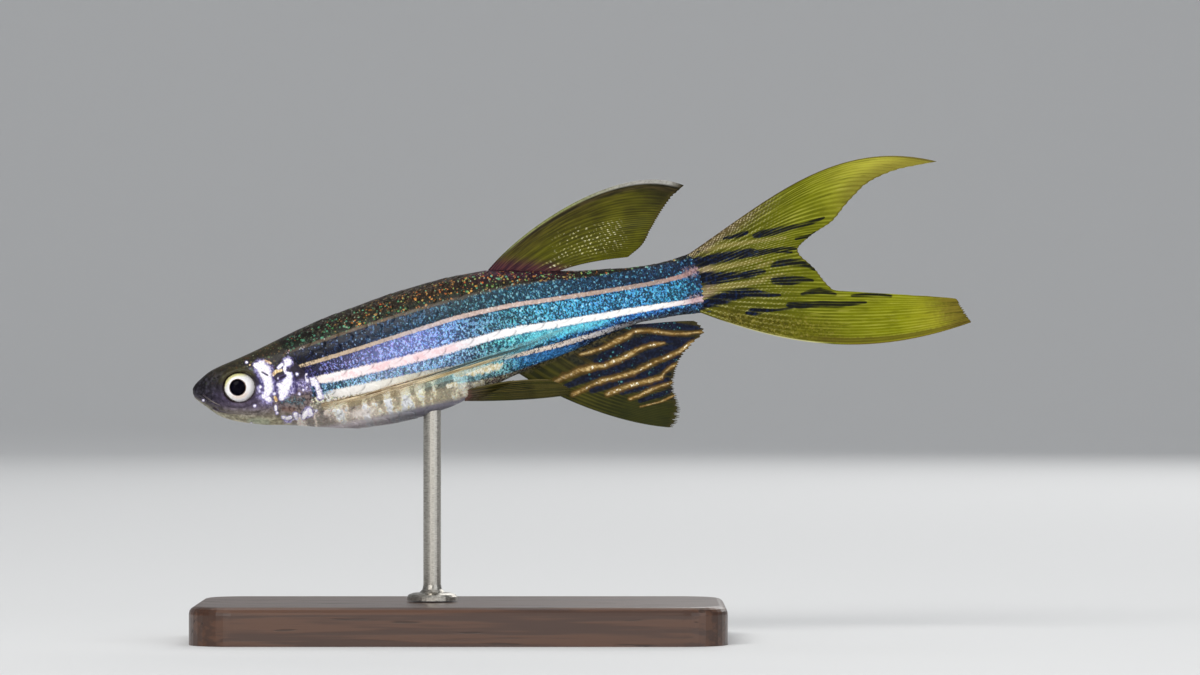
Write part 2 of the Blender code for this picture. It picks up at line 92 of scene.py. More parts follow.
# ---------------------------------------------------------------- curves
class Steady:
    """A smooth curve through the points that never overshoots them, for arrays."""

    def __init__(self, xs, ys):
        self.x, self.y = np.asarray(xs, float), np.asarray(ys, float)
        h = np.diff(self.x)
        d = np.diff(self.y) / h
        m = np.zeros(len(self.x))
        m[0], m[-1] = d[0], d[-1]
        for i in range(1, len(self.x) - 1):
            if d[i - 1] * d[i] > 0:
                a, b = 2 * h[i] + h[i - 1], h[i] + 2 * h[i - 1]
                m[i] = (a + b) / (a / d[i - 1] + b / d[i])
        self.h, self.m = h, m

    def __call__(self, v):
        v = np.clip(np.asarray(v, float), self.x[0], self.x[-1])
        i = np.minimum(np.searchsorted(self.x, v, side="right") - 1, len(self.h) - 1)
        h = self.h[i]
        u = (v - self.x[i]) / h
        return (
            (1 + 2 * u) * (1 - u) ** 2 * self.y[i]
            + u * (1 - u) ** 2 * h * self.m[i]
            + u * u * (3 - 2 * u) * self.y[i + 1]
            + u * u * (u - 1) * h * self.m[i + 1]
        )


_roots = [math.sqrt(row[0]) for row in STATIONS]
SECTION = [Steady(_roots, [row[k] for row in STATIONS]) for k in range(1, 7)]


def section(s):
    r = np.sqrt(np.maximum(s, 0.0))
    return [curve(r) for curve in SECTION]


def power(v, n):
    return np.sign(v) * np.abs(v) ** (2.0 / n)


def body_point(s, angle):
    """Points of the body's outer form: angle 0 is the ridge of the back, pi the keel of the belly."""
    top, bottom, half, widest, up, low = section(s)
    # Behind the tail stalk the flesh thins away into the tail fin.
    half = half * (1 - 0.80 * ease((s - 34.1) / 1.5))
    c, d = np.cos(angle), np.sin(angle)
    n = np.where(c >= 0, up, low)
    height = np.where(c >= 0, top - widest, widest - bottom)
    return np.stack([s + 0 * angle, half * power(d, n), widest + height * power(c, n)], -1)


def half_width(s, t):
    top, bottom, half, widest, up, low = section(s)
    above = t >= widest
    share = np.where(
        above,
        (t - widest) / np.maximum(top - widest, 1e-6),
        (widest - t) / np.maximum(widest - bottom, 1e-6),
    )
    n = np.where(above, up, low)
    share = np.clip(share, 0, 1)
    return half * (1 - share**n) ** (1 / n)


def ease(u):
    u = np.clip(u, 0, 1)
    return u * u * (3 - 2 * u)


def place(p):
    """Body frame, in millimetres, to the model's frame, in metres."""
    p = np.asarray(p, float)
    s, y, t = p[..., 0], p[..., 1], p[..., 2]
    sweep = TAIL_SWEEP * (np.maximum(s - SWEEP_FROM, 0) / (STANDARD_LENGTH - SWEEP_FROM)) ** 2
    c, d = math.cos(PITCH), math.sin(PITCH)
    return np.stack([SNOUT_X + s * c - t * d, y + sweep, SNOUT_Z + s * d + t * c], -1) * MM


def bezier(p, u):
    u = np.asarray(u, float)
    b = [(1 - u) ** 3, 3 * u * (1 - u) ** 2, 3 * u * u * (1 - u), u**3]
    return [sum(b[i] * p[i][k] for i in range(4)) for k in (0, 1)]


def seen(px, py):
    """The s and t, at the fish's midline, of a place in the 1200 x 675 picture."""
    x = CAMERA_X + (np.asarray(px, float) - 600) / PIXELS - SNOUT_X
    z = CAMERA_Z - (np.asarray(py, float) - 337.5) / PIXELS - SNOUT_Z
    c, d = math.cos(PITCH), math.sin(PITCH)
    return x * c + z * d, z * c - x * d


def side_view(p):
    """Where points of the body show from its side, as the s and t of the midline that they stand in front of."""
    s, y, t = p[..., 0], np.abs(p[..., 1]), p[..., 2]
    c, d = math.cos(PITCH), math.sin(PITCH)
    x, z = SNOUT_X + s * c - t * d, SNOUT_Z + s * d + t * c
    near = CAMERA_FAR / (CAMERA_FAR - y)
    x = CAMERA_X + (x - CAMERA_X) * near - SNOUT_X
    z = CAMERA_Z + (z - CAMERA_Z) * near - SNOUT_Z
    return x * c + z * d, z * c - x * d


def eye_gap(p):
    """Distance from the middle of the eye, seen from the side, with its outline at about 1.05."""
    return np.hypot((p[..., 0] - EYE_AT[0]) / EYE_WIDE, (p[..., 2] - EYE_AT[1]) / EYE_TALL)


def iris_dome(gap):
    """How far the iris stands out from the eye's middle plane."""
    return 0.40 - 0.26 * np.maximum((gap - PUPIL) / (1.0 - PUPIL), 0.0) ** 1.8


def strand(a, b, points):
    """Distance to a chain of picture places (px, py, radius in px), as a share of its radius: under 1 is inside."""
    best = np.full(np.shape(a), 1e3)
    spots = [(*seen(p[0], p[1]), p[2] / PIXELS) for p in points]
    if len(spots) == 1:
        spots = spots * 2
    for (s0, t0, r0), (s1, t1, r1) in zip(spots, spots[1:]):
        ds, dt = s1 - s0, t1 - t0
        u = np.clip(((a - s0) * ds + (b - t0) * dt) / max(ds * ds + dt * dt, 1e-9), 0, 1)
        best = np.minimum(best, np.hypot(a - s0 - u * ds, b - t0 - u * dt) / (r0 + u * (r1 - r0)))
    return best


def strands(a, b, chains):
    best = np.full(np.shape(a), 50.0)
    for chain in chains:
        best = np.minimum(best, strand(a, b, chain))
    return best


def line_gap(p, line):
    """Distance in space from points to a chain of points, in millimetres."""
    best = np.full(p.shape[:-1], 1e3)
    for a, b in zip(line, line[1:]):
        a, b = np.asarray(a, float), np.asarray(b, float)
        d = b - a
        u = np.clip(((p - a) @ d) / (d @ d), 0, 1)
        best = np.minimum(best, np.linalg.norm(p - a - u[..., None] * d, axis=-1))
    return best


def on_side(chain, sign):
    """A chain of (s, t) laid on the flank."""
    out = []
    for (s0, t0), (s1, t1) in zip(chain, chain[1:]):
        for k in range(4):
            s, t = s0 + (s1 - s0) * k / 4, t0 + (t1 - t0) * k / 4
            out.append((s, sign * float(half_width(np.array(s), np.array(t))), t))
    s, t = chain[-1]
    out.append((s, sign * float(half_width(np.array(s), np.array(t))), t))
    return out


# ---------------------------------------------------------------- materials
def rgb(r, g, b):
    """A colour as it looks, 0 to 255, turned into the light a shader wants."""
    return tuple(
        (v / 255 / 12.92) if v / 255 <= 0.04045 else ((v / 255 + 0.055) / 1.055) ** 2.4
        for v in (r, g, b)
    )


class Look:
    """A material under construction. Every method returns a socket."""

    def __init__(self, name):
        self.material = bpy.data.materials.new(name)
        self.material.use_nodes = True
        self.tree = self.material.node_tree
        self.tree.nodes.clear()
        self.out = self.tree.nodes.new("ShaderNodeOutputMaterial")
        self.shader = self.tree.nodes.new("ShaderNodeBsdfPrincipled")
        self.tree.links.new(self.shader.outputs[0], self.out.inputs[0])
        self.place = self.tree.nodes.new("ShaderNodeTexCoord").outputs["Object"]

    def feed(self, socket, value):
        if isinstance(value, bpy.types.NodeSocket):
            self.tree.links.new(value, socket)
        elif isinstance(value, (tuple, list)) and len(value) == 3 and socket.type == "RGBA":
            socket.default_value = (*value, 1.0)
        elif isinstance(value, (int, float)) and socket.type == "RGBA":
            socket.default_value = (value, value, value, 1.0)
        else:
            socket.default_value = value

    def set(self, **values):
        for key, value in values.items():
            self.feed(self.shader.inputs[key.replace("_", " ")], value)

    def math(self, operation, a, b=0.0, clamp=False):
        node = self.tree.nodes.new("ShaderNodeMath")
        node.operation = operation
        node.use_clamp = clamp
        self.feed(node.inputs[0], a)
        self.feed(node.inputs[1], b)
        return node.outputs[0]

    def add(self, a, b):
        return self.math("ADD", a, b)

    def times(self, a, b):
        return self.math("MULTIPLY", a, b)

    def attr(self, name):
        node = self.tree.nodes.new("ShaderNodeAttribute")
        node.attribute_name = name
        return node.outputs["Fac"]

    def step(self, value, low, high, out_low=0.0, out_high=1.0):
        """A smooth step of value from low to high; low may be the larger."""
        node = self.tree.nodes.new("ShaderNodeMapRange")
        node.interpolation_type = "SMOOTHSTEP"
        if low > high:
            low, high, out_low, out_high = high, low, out_high, out_low
        self.feed(node.inputs["Value"], value)
        for key, v in zip(("From Min", "From Max", "To Min", "To Max"), (low, high, out_low, out_high)):
            node.inputs[key].default_value = v
        return node.outputs["Result"]

    def ramp(self, value, stops):
        """Colours or numbers along a value from 0 to 1."""
        node = self.tree.nodes.new("ShaderNodeValToRGB")
        elements = node.color_ramp.elements
        while len(elements) < len(stops):
            elements.new(0.5)
        for element, (at, colour) in zip(elements, stops):
            element.position = at
        for element, (at, colour) in zip(elements, stops):
            if not isinstance(colour, tuple):
                colour = (colour,) * 3
            element.color = (*colour, 1.0)
        self.feed(node.inputs[0], value)
        return node.outputs[0]

    def mix(self, share, a, b, blend="MIX"):
        node = self.tree.nodes.new("ShaderNodeMix")
        node.data_type = "RGBA"
        node.blend_type = blend
        self.feed(node.inputs[0], share)
        self.feed(node.inputs[6], a)
        self.feed(node.inputs[7], b)
        return node.outputs[2]

    def stretched(self, sx, sy, sz, turn=-PITCH):
        """Places in axes that follow the body's slope, each way made denser by its own number."""
        node = self.tree.nodes.new("ShaderNodeMapping")
        node.vector_type = "TEXTURE"
        node.inputs["Scale"].default_value = (1 / sx, 1 / sy, 1 / sz)
        node.inputs["Rotation"].default_value = (0, turn, 0)
        self.feed(node.inputs["Vector"], self.place)
        return node.outputs[0]

    def noise(self, per_mm, detail=2.0, vector=None, rough=0.5):
        node = self.tree.nodes.new("ShaderNodeTexNoise")
        self.feed(node.inputs["Vector"], vector or self.place)
        node.inputs["Scale"].default_value = per_mm * 1000
        node.inputs["Detail"].default_value = detail
        node.inputs["Roughness"].default_value = rough
        return node.outputs["Fac"]

    def cells(self, per_mm, vector=None):
        """Random cells: the distance to a cell's middle, and its own random colour."""
        node = self.tree.nodes.new("ShaderNodeTexVoronoi")
        self.feed(node.inputs["Vector"], vector or self.place)
        node.inputs["Scale"].default_value = per_mm * 1000
        return node.outputs["Distance"], node.outputs["Color"]

    def vector(self, operation, a, b):
        node = self.tree.nodes.new("ShaderNodeVectorMath")
        node.operation = operation
        self.feed(node.inputs[0], a)
        self.feed(node.inputs[1], b)
        return node.outputs[0]

    def joined(self, x, y, z=0.0):
        """A vector from three numbers."""
        node = self.tree.nodes.new("ShaderNodeCombineXYZ")
        for socket, value in zip(node.inputs, (x, y, z)):
            self.feed(socket, value)
        return node.outputs[0]

    def part_of(self, colour, k):
        node = self.tree.nodes.new("ShaderNodeSeparateColor")
        self.feed(node.inputs[0], colour)
        return node.outputs[k]

    def bump(self, height, depth_mm, strength=1.0):
        node = self.tree.nodes.new("ShaderNodeBump")
        node.inputs["Strength"].default_value = strength
        node.inputs["Distance"].default_value = depth_mm * MM
        self.feed(node.inputs["Height"], height)
        return node.outputs[0]

    def flakes(self, colour, tilt, normal=None):
        """A normal that each cell tilts its own way, as small mirrors in skin do."""
        centre = self.tree.nodes.new("ShaderNodeVectorMath")
        centre.operation = "SUBTRACT"
        self.feed(centre.inputs[0], colour)
        centre.inputs[1].default_value = (0.5, 0.5, 0.5)
        scale = self.tree.nodes.new("ShaderNodeVectorMath")
        scale.operation = "SCALE"
        self.feed(scale.inputs[0], centre.outputs[0])
        self.feed(scale.inputs["Scale"], tilt)
        total = self.tree.nodes.new("ShaderNodeVectorMath")
        total.operation = "ADD"
        self.feed(total.inputs[0], scale.outputs[0])
        if normal is None:
            normal = self.tree.nodes.new("ShaderNodeNewGeometry").outputs["Normal"]
        self.feed(total.inputs[1], normal)
        unit = self.tree.nodes.new("ShaderNodeVectorMath")
        unit.operation = "NORMALIZE"
        self.feed(unit.inputs[0], total.outputs[0])
        return unit.outputs[0]


# ---------------------------------------------------------------- meshes
def mesh_object(name, points, quads, tris=(), attributes=None, look=None, smooth=True, uv=None):
    """A mesh from arrays: points in the model's metres, faces, per-point numbers, and a UV for each point."""
    mesh = bpy.data.meshes.new(name)
    quads = np.asarray(quads, np.int64).reshape(-1, 4)
    tris = np.asarray(tris, np.int64).reshape(-1, 3)
    mesh.vertices.add(len(points))
    mesh.vertices.foreach_set("co", np.asarray(points, np.float32).ravel())
    corners = np.concatenate([quads.ravel(), tris.ravel()])
    mesh.loops.add(len(corners))
    mesh.loops.foreach_set("vertex_index", corners.astype(np.int32))
    starts = np.concatenate([np.arange(len(quads)) * 4, len(quads) * 4 + np.arange(len(tris)) * 3])
    mesh.polygons.add(len(starts))
    mesh.polygons.foreach_set("loop_start", starts.astype(np.int32))
    mesh.update(calc_edges=True)
    mesh.validate()
    if smooth:
        mesh.shade_smooth()
    for key, values in (attributes or {}).items():
        attribute = mesh.attributes.new(key, "FLOAT", "POINT")
        attribute.data.foreach_set("value", np.asarray(values, np.float32).ravel())
    if uv is not None:
        layer = mesh.uv_layers.new(name="OFBake")
        index = np.empty(len(mesh.loops), np.int32)
        mesh.loops.foreach_get("vertex_index", index)
        layer.data.foreach_set("uv", np.asarray(uv, np.float32)[index].ravel())
    if look is not None:
        mesh.materials.append(look)
    made = bpy.data.objects.new(name, mesh)
    bpy.context.scene.collection.objects.link(made)
    return made


def grid_quads(rows, columns, start=0, wrap=False, flip=False):
    """Faces of a grid whose point (i, j) is start + i * columns + j."""
    i, j = np.meshgrid(np.arange(rows - 1), np.arange(columns if wrap else columns - 1), indexing="ij")
    k = (j + 1) % columns
    a, b, c, d = i * columns + j, i * columns + k, (i + 1) * columns + k, (i + 1) * columns + j
    quads = np.stack([a, d, c, b] if flip else [a, b, c, d], -1).reshape(-1, 4)
    return quads + start


def grid_normals(p):
    """Unit normals of a grid of points, by the differences along its two ways."""
    along = np.gradient(p, axis=0)
    over = np.gradient(p, axis=1)
    n = np.cross(along, over)
    return n / np.maximum(np.linalg.norm(n, axis=-1, keepdims=True), 1e-12)


# ---------------------------------------------------------------- markings, shared by the skin and the scales
# Middle lines of the pale stripes, as (s, t), from the tan line on the back to the cream one over the belly,
# and the line where the flank turns into the belly.
PALE_1 = Steady([7.1, 9.9, 13.0, 16.0, 19.0, 22.0, 25.0, 28.0, 35.0], [1.25, 1.60, 1.96, 2.23, 2.42, 2.52, 2.38, 2.02, 1.85])
PALE_2 = Steady([7.2, 9.8, 13.0, 16.4, 19.0, 22.0, 25.0, 28.0, 31.0, 33.0, 34.2, 35.2], [0.10, 0.31, 0.62, 0.96, 1.18, 1.22, 1.06, 0.90, 0.76, 0.73, 0.79, 1.02])
PALE_3 = Steady([8.3, 10.0, 13.0, 16.0, 19.0, 22.0, 25.0, 28.0, 31.0, 34.3], [-1.02, -1.08, -1.01, -0.88, -0.70, -0.52, -0.64, -0.75, -0.85, -1.00])
PALE_4 = Steady([9.0, 10.0, 12.0, 13.5, 16.0, 19.0, 22.0, 24.7, 26.4, 28.0, 29.0, 31.0, 34.0], [-2.14, -2.20, -2.24, -2.17, -2.08, -2.12, -2.16, -2.08, -1.96, -1.84, -1.72, -1.62, -1.66])
BELLY_LINE = Steady([8.0, 13.0, 16.5, 20.0, 24.0, 27.8, 31.0, 35.0], [-3.00, -3.25, -3.25, -3.30, -2.90, -2.28, -1.88, -1.86])
HALF_1 = Steady([7, 20, 25], [0.10, 0.10, 0.08])
HALF_2 = Steady([7, 9, 14, 20, 30, 35], [0.10, 0.125, 0.13, 0.145, 0.135, 0.14])
HALF_3 = Steady([7.6, 9, 10, 14, 17, 20, 25, 30, 34], [0.16, 0.26, 0.30, 0.29, 0.29, 0.26, 0.23, 0.20, 0.15])
HALF_4 = Steady([8.5, 10, 12, 14, 18, 22, 27, 31], [0.18, 0.28, 0.31, 0.21, 0.12, 0.13, 0.16, 0.12])

# The rear edge of the gill cover, as (s, t) from its top to the throat.
GILL_EDGE = [(6.75, 0.85), (7.35, 0.35), (7.78, -0.40), (7.98, -1.25), (7.92, -2.05), (7.45, -2.80), (6.60, -3.35), (5.50, -3.45), (4.30, -3.22)]
GILL_LINE = Steady([-3.45, -2.80, -2.05, -1.25, -0.40, 0.35, 0.85, 2.5], [6.20, 7.45, 7.92, 7.98, 7.78, 7.35, 6.95, 6.3])

SILVER = [
    # the plate behind the eye
    [(255.5, 365.0, 2.0), (261.0, 366.8, 4.6), (264.5, 371.0, 5.4), (266.0, 376.0, 4.2), (267.8, 381.0, 3.8), (268.6, 386.0, 3.8), (268.4, 390.5, 3.6), (266.5, 394.0, 2.6)],
    [(260.4, 386.9, 1.3)],
    [(259.5, 391.3, 1.0)],
    [(263.6, 395.9, 1.9), (269.0, 399.8, 2.3)],
    # the gill cover
    [(289.4, 376.5, 2.4), (287.9, 382.0, 3.8), (284.6, 386.7, 4.8), (283.4, 392.3, 4.2), (281.9, 397.8, 2.2)],
    [(277.9, 384.4, 1.3), (281.0, 386.0, 2.0)],
    [(287.7, 362.1, 3.4)],
    [(278.7, 367.5, 1.4), (281.7, 364.8, 1.4)],
    [(285.0, 366.4, 1.3), (284.3, 369.5, 1.1), (286.0, 372.8, 1.2), (290.0, 374.0, 1.6)],
    [(278.4, 378.1, 0.8)],
    [(274.3, 393.7, 1.2)],
    [(254.7, 406.0, 1.2)],
    [(246.6, 362.3, 1.1)],
    [(275.6, 406.3, 1.1), (275.9, 409.7, 1.1)],
    [(276.9, 412.9, 1.2)],
    # behind it
    [(306.3, 374.1, 0.9)],
    [(306.0, 377.0, 1.0), (307.2, 381.0, 1.4)],
    [(302.9, 389.9, 1.0)],
    [(306.9, 387.3, 0.9)],
    [(299.3, 393.9, 1.1)],
    [(297.1, 374.1, 1.3)],
    [(311.8, 378.7, 1.3), (312.9, 384.6, 1.3)],
    [(314.1, 378.1, 1.3), (316.9, 384.4, 1.8), (318.7, 390.2, 2.0), (320.4, 397.4, 2.2)],
    # under it
    [(283.6, 417.2, 1.5)],
    [(286.8, 418.7, 1.4), (290.5, 417.5, 1.5)],
    [(295.4, 414.2, 1.8), (296.3, 418.0, 1.3)],
    [(299.7, 415.4, 1.1)],
    [(303.7, 418.0, 1.5), (305.0, 414.3, 2.7), (308.5, 411.5, 3.2), (310.6, 414.3, 2.0)],
    [(316.1, 410.9, 1.0)],
    [(203.3, 400.3, 0.9)],
    [(217.2, 410.0, 0.8)],
    [(251.2, 423.6, 1.0)],
]
GOLD = [
    [(260.1, 361.8, 1.2), (265.0, 361.0, 1.5), (270.4, 363.3, 1.3)],
    [(272.7, 374.7, 1.8), (276.2, 371.4, 1.8), (281.4, 370.2, 1.4)],
    [(275.0, 397.1, 1.4), (276.2, 400.5, 1.5)],
    [(249.8, 364.9, 0.9)],
]
LILAC = [
    [(259.0, 388.0, 2.2), (262.0, 395.0, 4.4), (267.0, 400.5, 4.8)],
    [(299.0, 384.0, 2.5), (304.0, 385.3, 5.0), (308.5, 388.0, 3.0)],
    [(313.0, 389.0, 3.5), (320.0, 396.0, 4.0)],
    [(292.0, 386.0, 2.5), (291.0, 392.0, 3.0)],
    [(250.4, 368.1, 1.2)],
    [(286.0, 421.0, 2.2), (300.0, 421.0, 2.2), (308.0, 419.0, 2.2)],
]
DUSK = [
    [(257.5, 371.0, 1.8), (260.5, 378.0, 2.4), (262.5, 384.0, 2.2)],
    [(272.2, 377.0, 1.4), (274.5, 383.0, 2.6), (275.0, 389.0, 2.4)],
    [(294.0, 379.0, 2.0), (296.0, 385.0, 2.2), (294.5, 392.0, 2.5)],
]
TEAL = [[(284.0, 400.0, 3.0), (293.0, 401.0, 4.0), (301.0, 401.5, 3.5)]]
RUST = [[(284.0, 409.0, 2.6), (293.0, 410.0, 3.0)], [(271.0, 366.5, 1.0), (274.0, 367.5, 0.9)]]
THROAT = [[(248.6, 420.6, 2.0), (258.8, 421.2, 4.2), (267.1, 422.2, 3.0)]]
SPOT = [[(280.5, 378.3, 2.4), (285.5, 375.5, 1.5)], [(261.8, 371.9, 0.8), (267.6, 375.2, 1.0)]]


# Places of the cream scales under the breast fin, which carry a painted highlight.
CREAM_AND_HIGHLIGHT = [
    [(455.0, 375.0, 1.4), (466.0, 373.0, 2.2), (475.0, 371.0, 3.0), (486.0, 368.6, 3.2), (500.0, 365.8, 2.4)],
    [(473.5, 385.8, 1.8), (482.5, 383.2, 2.2)],
    [(447.0, 386.4, 1.6), (456.0, 384.0, 1.9)],
]


def marks(p):
    """Numbers that the markings are drawn from, at points of the body."""
    a, b = side_view(p)
    top, bottom = section(p[..., 0])[:2]
    lines = [PALE_1(a), PALE_2(a), PALE_3(a), PALE_4(a), BELLY_LINE(a)]
    halves = [HALF_1(a), HALF_2(a), HALF_3(a), HALF_4(a)]
    knots = [bottom - 0.3] + lines[::-1] + [top + 0.1]
    for k in range(1, len(knots)):
        knots[k] = np.maximum(knots[k], knots[k - 1] + 0.05)
    band = np.zeros(a.shape)
    for k in range(len(knots) - 1):
        band += np.clip((b - knots[k]) / (knots[k + 1] - knots[k]), 0, 1)
    out = {
        "along": a / 35.0,
        "up": b,
        "band": band / 6.0,
        "rise": (p[..., 2] - bottom) / np.maximum(top - bottom, 0.2),
        "head": GILL_LINE(b) - a,
        "orbit": eye_gap(p),
        "brow": p[..., 2] - EYE_AT[1],
    }
    for name, chains in (("silver", SILVER), ("gold", GOLD), ("lilac", LILAC), ("dusk", DUSK), ("teal", TEAL), ("rust", RUST), ("throat", THROAT), ("spot", SPOT), ("cream", CREAM_AND_HIGHLIGHT)):
        far = np.full(a.shape, 20.0)
        near = (a > 14.0) & (a < 24.0) if name == "cream" else (a < 10.5)
        far[near] = np.minimum(strands(a[near], b[near], chains), 20.0)
        out[name] = far
    for k in range(4):
        out[f"pale_{k + 1}"] = np.clip((b - lines[k]) / halves[k], -20, 20)
    return out


def body_look():
    """The one material of skin and scales: lengthwise stripes over blue, sparkling with small mirrors."""
    m = Look("danio_skin")
    s = m.attr("along")
    band = m.attr("band")
    up = m.attr("up")
    rise = m.attr("rise")

    dist_a, cell_a = m.cells(8.4, m.stretched(1.15, 1.0, 0.80))
    dist_b, cell_b = m.cells(14.0)
    dist_c, cell_c = m.cells(6.2)
    spark_a = m.part_of(cell_a, 0)
    spark_b = m.part_of(cell_b, 1)
    pick = m.part_of(cell_a, 2)
    cloud = m.noise(0.9, 3.0)
    grain = m.noise(5.0, 3.0)
    fine = m.noise(9.0, 2.0)
    blinds = m.noise(2.7, 2.0, m.stretched(1.5, 1.0, 0.36))
    wobble = m.add(m.times(m.add(grain, -0.5), 0.9), m.times(m.add(cloud, -0.5), 0.5))
    ragged = m.add(m.times(m.add(fine, -0.5), 0.9), m.times(m.add(grain, -0.5), 0.7))

    # The middle colour of each band between the pale stripes, along s, from the belly up.
    middles = [
        [(0.24, rgb(176, 166, 158)), (0.30, rgb(226, 212, 196)), (0.38, rgb(232, 218, 190)), (0.47, rgb(214, 202, 172)), (0.53, rgb(170, 164, 150)), (0.60, rgb(116, 112, 100)), (0.66, rgb(66, 64, 62)), (0.76, rgb(50, 48, 44)), (0.95, rgb(34, 36, 46))],
        [(0.24, rgb(178, 170, 154)), (0.30, rgb(198, 188, 164)), (0.38, rgb(200, 190, 168)), (0.46, rgb(172, 176, 158)), (0.54, rgb(120, 164, 176)), (0.59, rgb(104, 160, 178)), (0.64, rgb(46, 108, 156)), (0.70, rgb(40, 92, 148)), (0.78, rgb(34, 52, 92)), (0.86, rgb(40, 50, 66)), (1.0, rgb(40, 44, 50))],
        [(0.235, rgb(52, 72, 96)), (0.28, rgb(104, 142, 170)), (0.37, rgb(124, 142, 170)), (0.46, rgb(120, 148, 184)), (0.54, rgb(98, 132, 170)), (0.62, rgb(76, 146, 172)), (0.70, rgb(66, 142, 184)), (0.80, rgb(44, 100, 172)), (0.89, rgb(44, 80, 130)), (0.97, rgb(40, 76, 116))],
        [(0.225, rgb(34, 28, 70)), (0.27, rgb(84, 84, 132)), (0.33, rgb(108, 112, 160)), (0.40, rgb(124, 134, 192)), (0.46, rgb(120, 136, 200)), (0.54, rgb(88, 124, 170)), (0.63, rgb(70, 128, 150)), (0.72, rgb(60, 124, 156)), (0.80, rgb(54, 116, 156)), (0.89, rgb(54, 114, 156)), (0.96, rgb(44, 104, 138)), (1.0, rgb(24, 56, 92))],
        [(0.21, rgb(14, 14, 34)), (0.29, rgb(26, 34, 58)), (0.37, rgb(44, 60, 86)), (0.46, rgb(50, 74, 98)), (0.54, rgb(60, 86, 100)), (0.63, rgb(50, 88, 108)), (0.71, rgb(48, 86, 112)), (0.80, rgb(38, 68, 96)), (0.89, rgb(34, 60, 88)), (1.0, rgb(26, 50, 84))],
        [(0.20, rgb(30, 26, 24)), (0.29, rgb(40, 34, 26)), (0.37, rgb(50, 40, 28)), (0.46, rgb(52, 40, 27)), (0.54, rgb(46, 34, 25)), (0.63, rgb(50, 38, 27)), (0.71, rgb(42, 33, 25)), (0.80, rgb(38, 34, 26)), (0.90, rgb(38, 40, 38)), (1.0, rgb(26, 36, 50))],
    ]
    middle = m.ramp(s, middles[0])
    for k in range(1, 6):
        share = m.step(m.add(band, m.times(wobble, 0.014)), k / 6 - 0.014, k / 6 + 0.014)
        middle = m.mix(share, middle, m.ramp(s, middles[k]))

    # Just under the white stripe the flank glows a clear light blue, from the end of the belly to the tail stalk.
    third = m.attr("pale_3")
    glow = m.times(m.step(m.add(third, m.times(wobble, 1.6)), -3.6, -1.2), m.step(third, 0.0, -0.8))
    glow = m.times(glow, m.ramp(s, [(0.54, 0.0), (0.61, 0.75), (0.70, 0.95), (0.79, 0.80), (0.90, 0.45), (0.98, 0.0)]))
    middle = m.mix(glow, middle, m.ramp(s, [(0.58, rgb(92, 190, 214)), (0.68, rgb(110, 212, 240)), (0.76, rgb(90, 190, 240)), (0.86, rgb(60, 134, 216))]))
    # Under the cream stripe the blue deepens to a dark edge before the flank turns under.
    fourth = m.attr("pale_4")
    deep = m.times(m.step(m.add(fourth, m.times(wobble, 0.8)), 3.4, 1.8), m.step(fourth, 0.4, 1.3))
    deep = m.times(deep, m.ramp(s, [(0.50, 0.1), (0.62, 0.55), (0.80, 0.75), (0.96, 0.5)]))
    middle = m.mix(deep, middle, rgb(16, 34, 66))

    # A dark green line with green lights runs just above the tan line of the back.
    first = m.attr("pale_1")
    green = m.times(m.step(first, 0.9, 2.0), m.step(m.add(first, m.times(wobble, 1.5)), 7.0, 4.0))
    green = m.times(green, m.step(s, 0.76, 0.56))
    middle = m.mix(m.times(green, 0.75), middle, rgb(32, 42, 30))
    ridge = m.step(m.add(rise, m.times(wobble, 0.03)), 0.90, 0.985)
    middle = m.mix(m.times(ridge, 0.6), middle, rgb(46, 38, 34))
    fin_root = m.times(m.step(rise, 0.84, 0.95), m.times(m.step(s, 0.56, 0.60), m.step(s, 0.80, 0.70)))
    middle = m.mix(m.times(fin_root, 0.85), middle, rgb(58, 24, 44))
    # The lowest belly is a soft grey lilac with no sparkle; behind the belly it is dark.
    keel = m.step(m.add(up, m.times(wobble, 0.12)), -4.05, -4.42)
    keel = m.times(keel, m.step(s, 0.64, 0.52))
    low_stalk = m.times(m.step(m.add(rise, m.times(wobble, 0.06)), 0.14, 0.05), m.step(s, 0.72, 0.80))
    middle = m.mix(m.times(low_stalk, 0.8), middle, rgb(30, 42, 58))

    # The mirrors: each band's middle colour is broken into bright flakes and dark gaps, partly the skin's own speckle
    # and partly painted glitter highlight.
    level = m.add(m.times(spark_a, 0.62), m.times(spark_b, 0.38))
    bias = m.add(m.times(m.add(cloud, -0.5), 0.25), m.times(m.add(blinds, -0.5), m.ramp(s, [(0.24, 0.7), (0.46, 0.5), (0.58, 0.12)])))
    mirrors = m.step(m.add(level, bias), 0.28, 0.78)
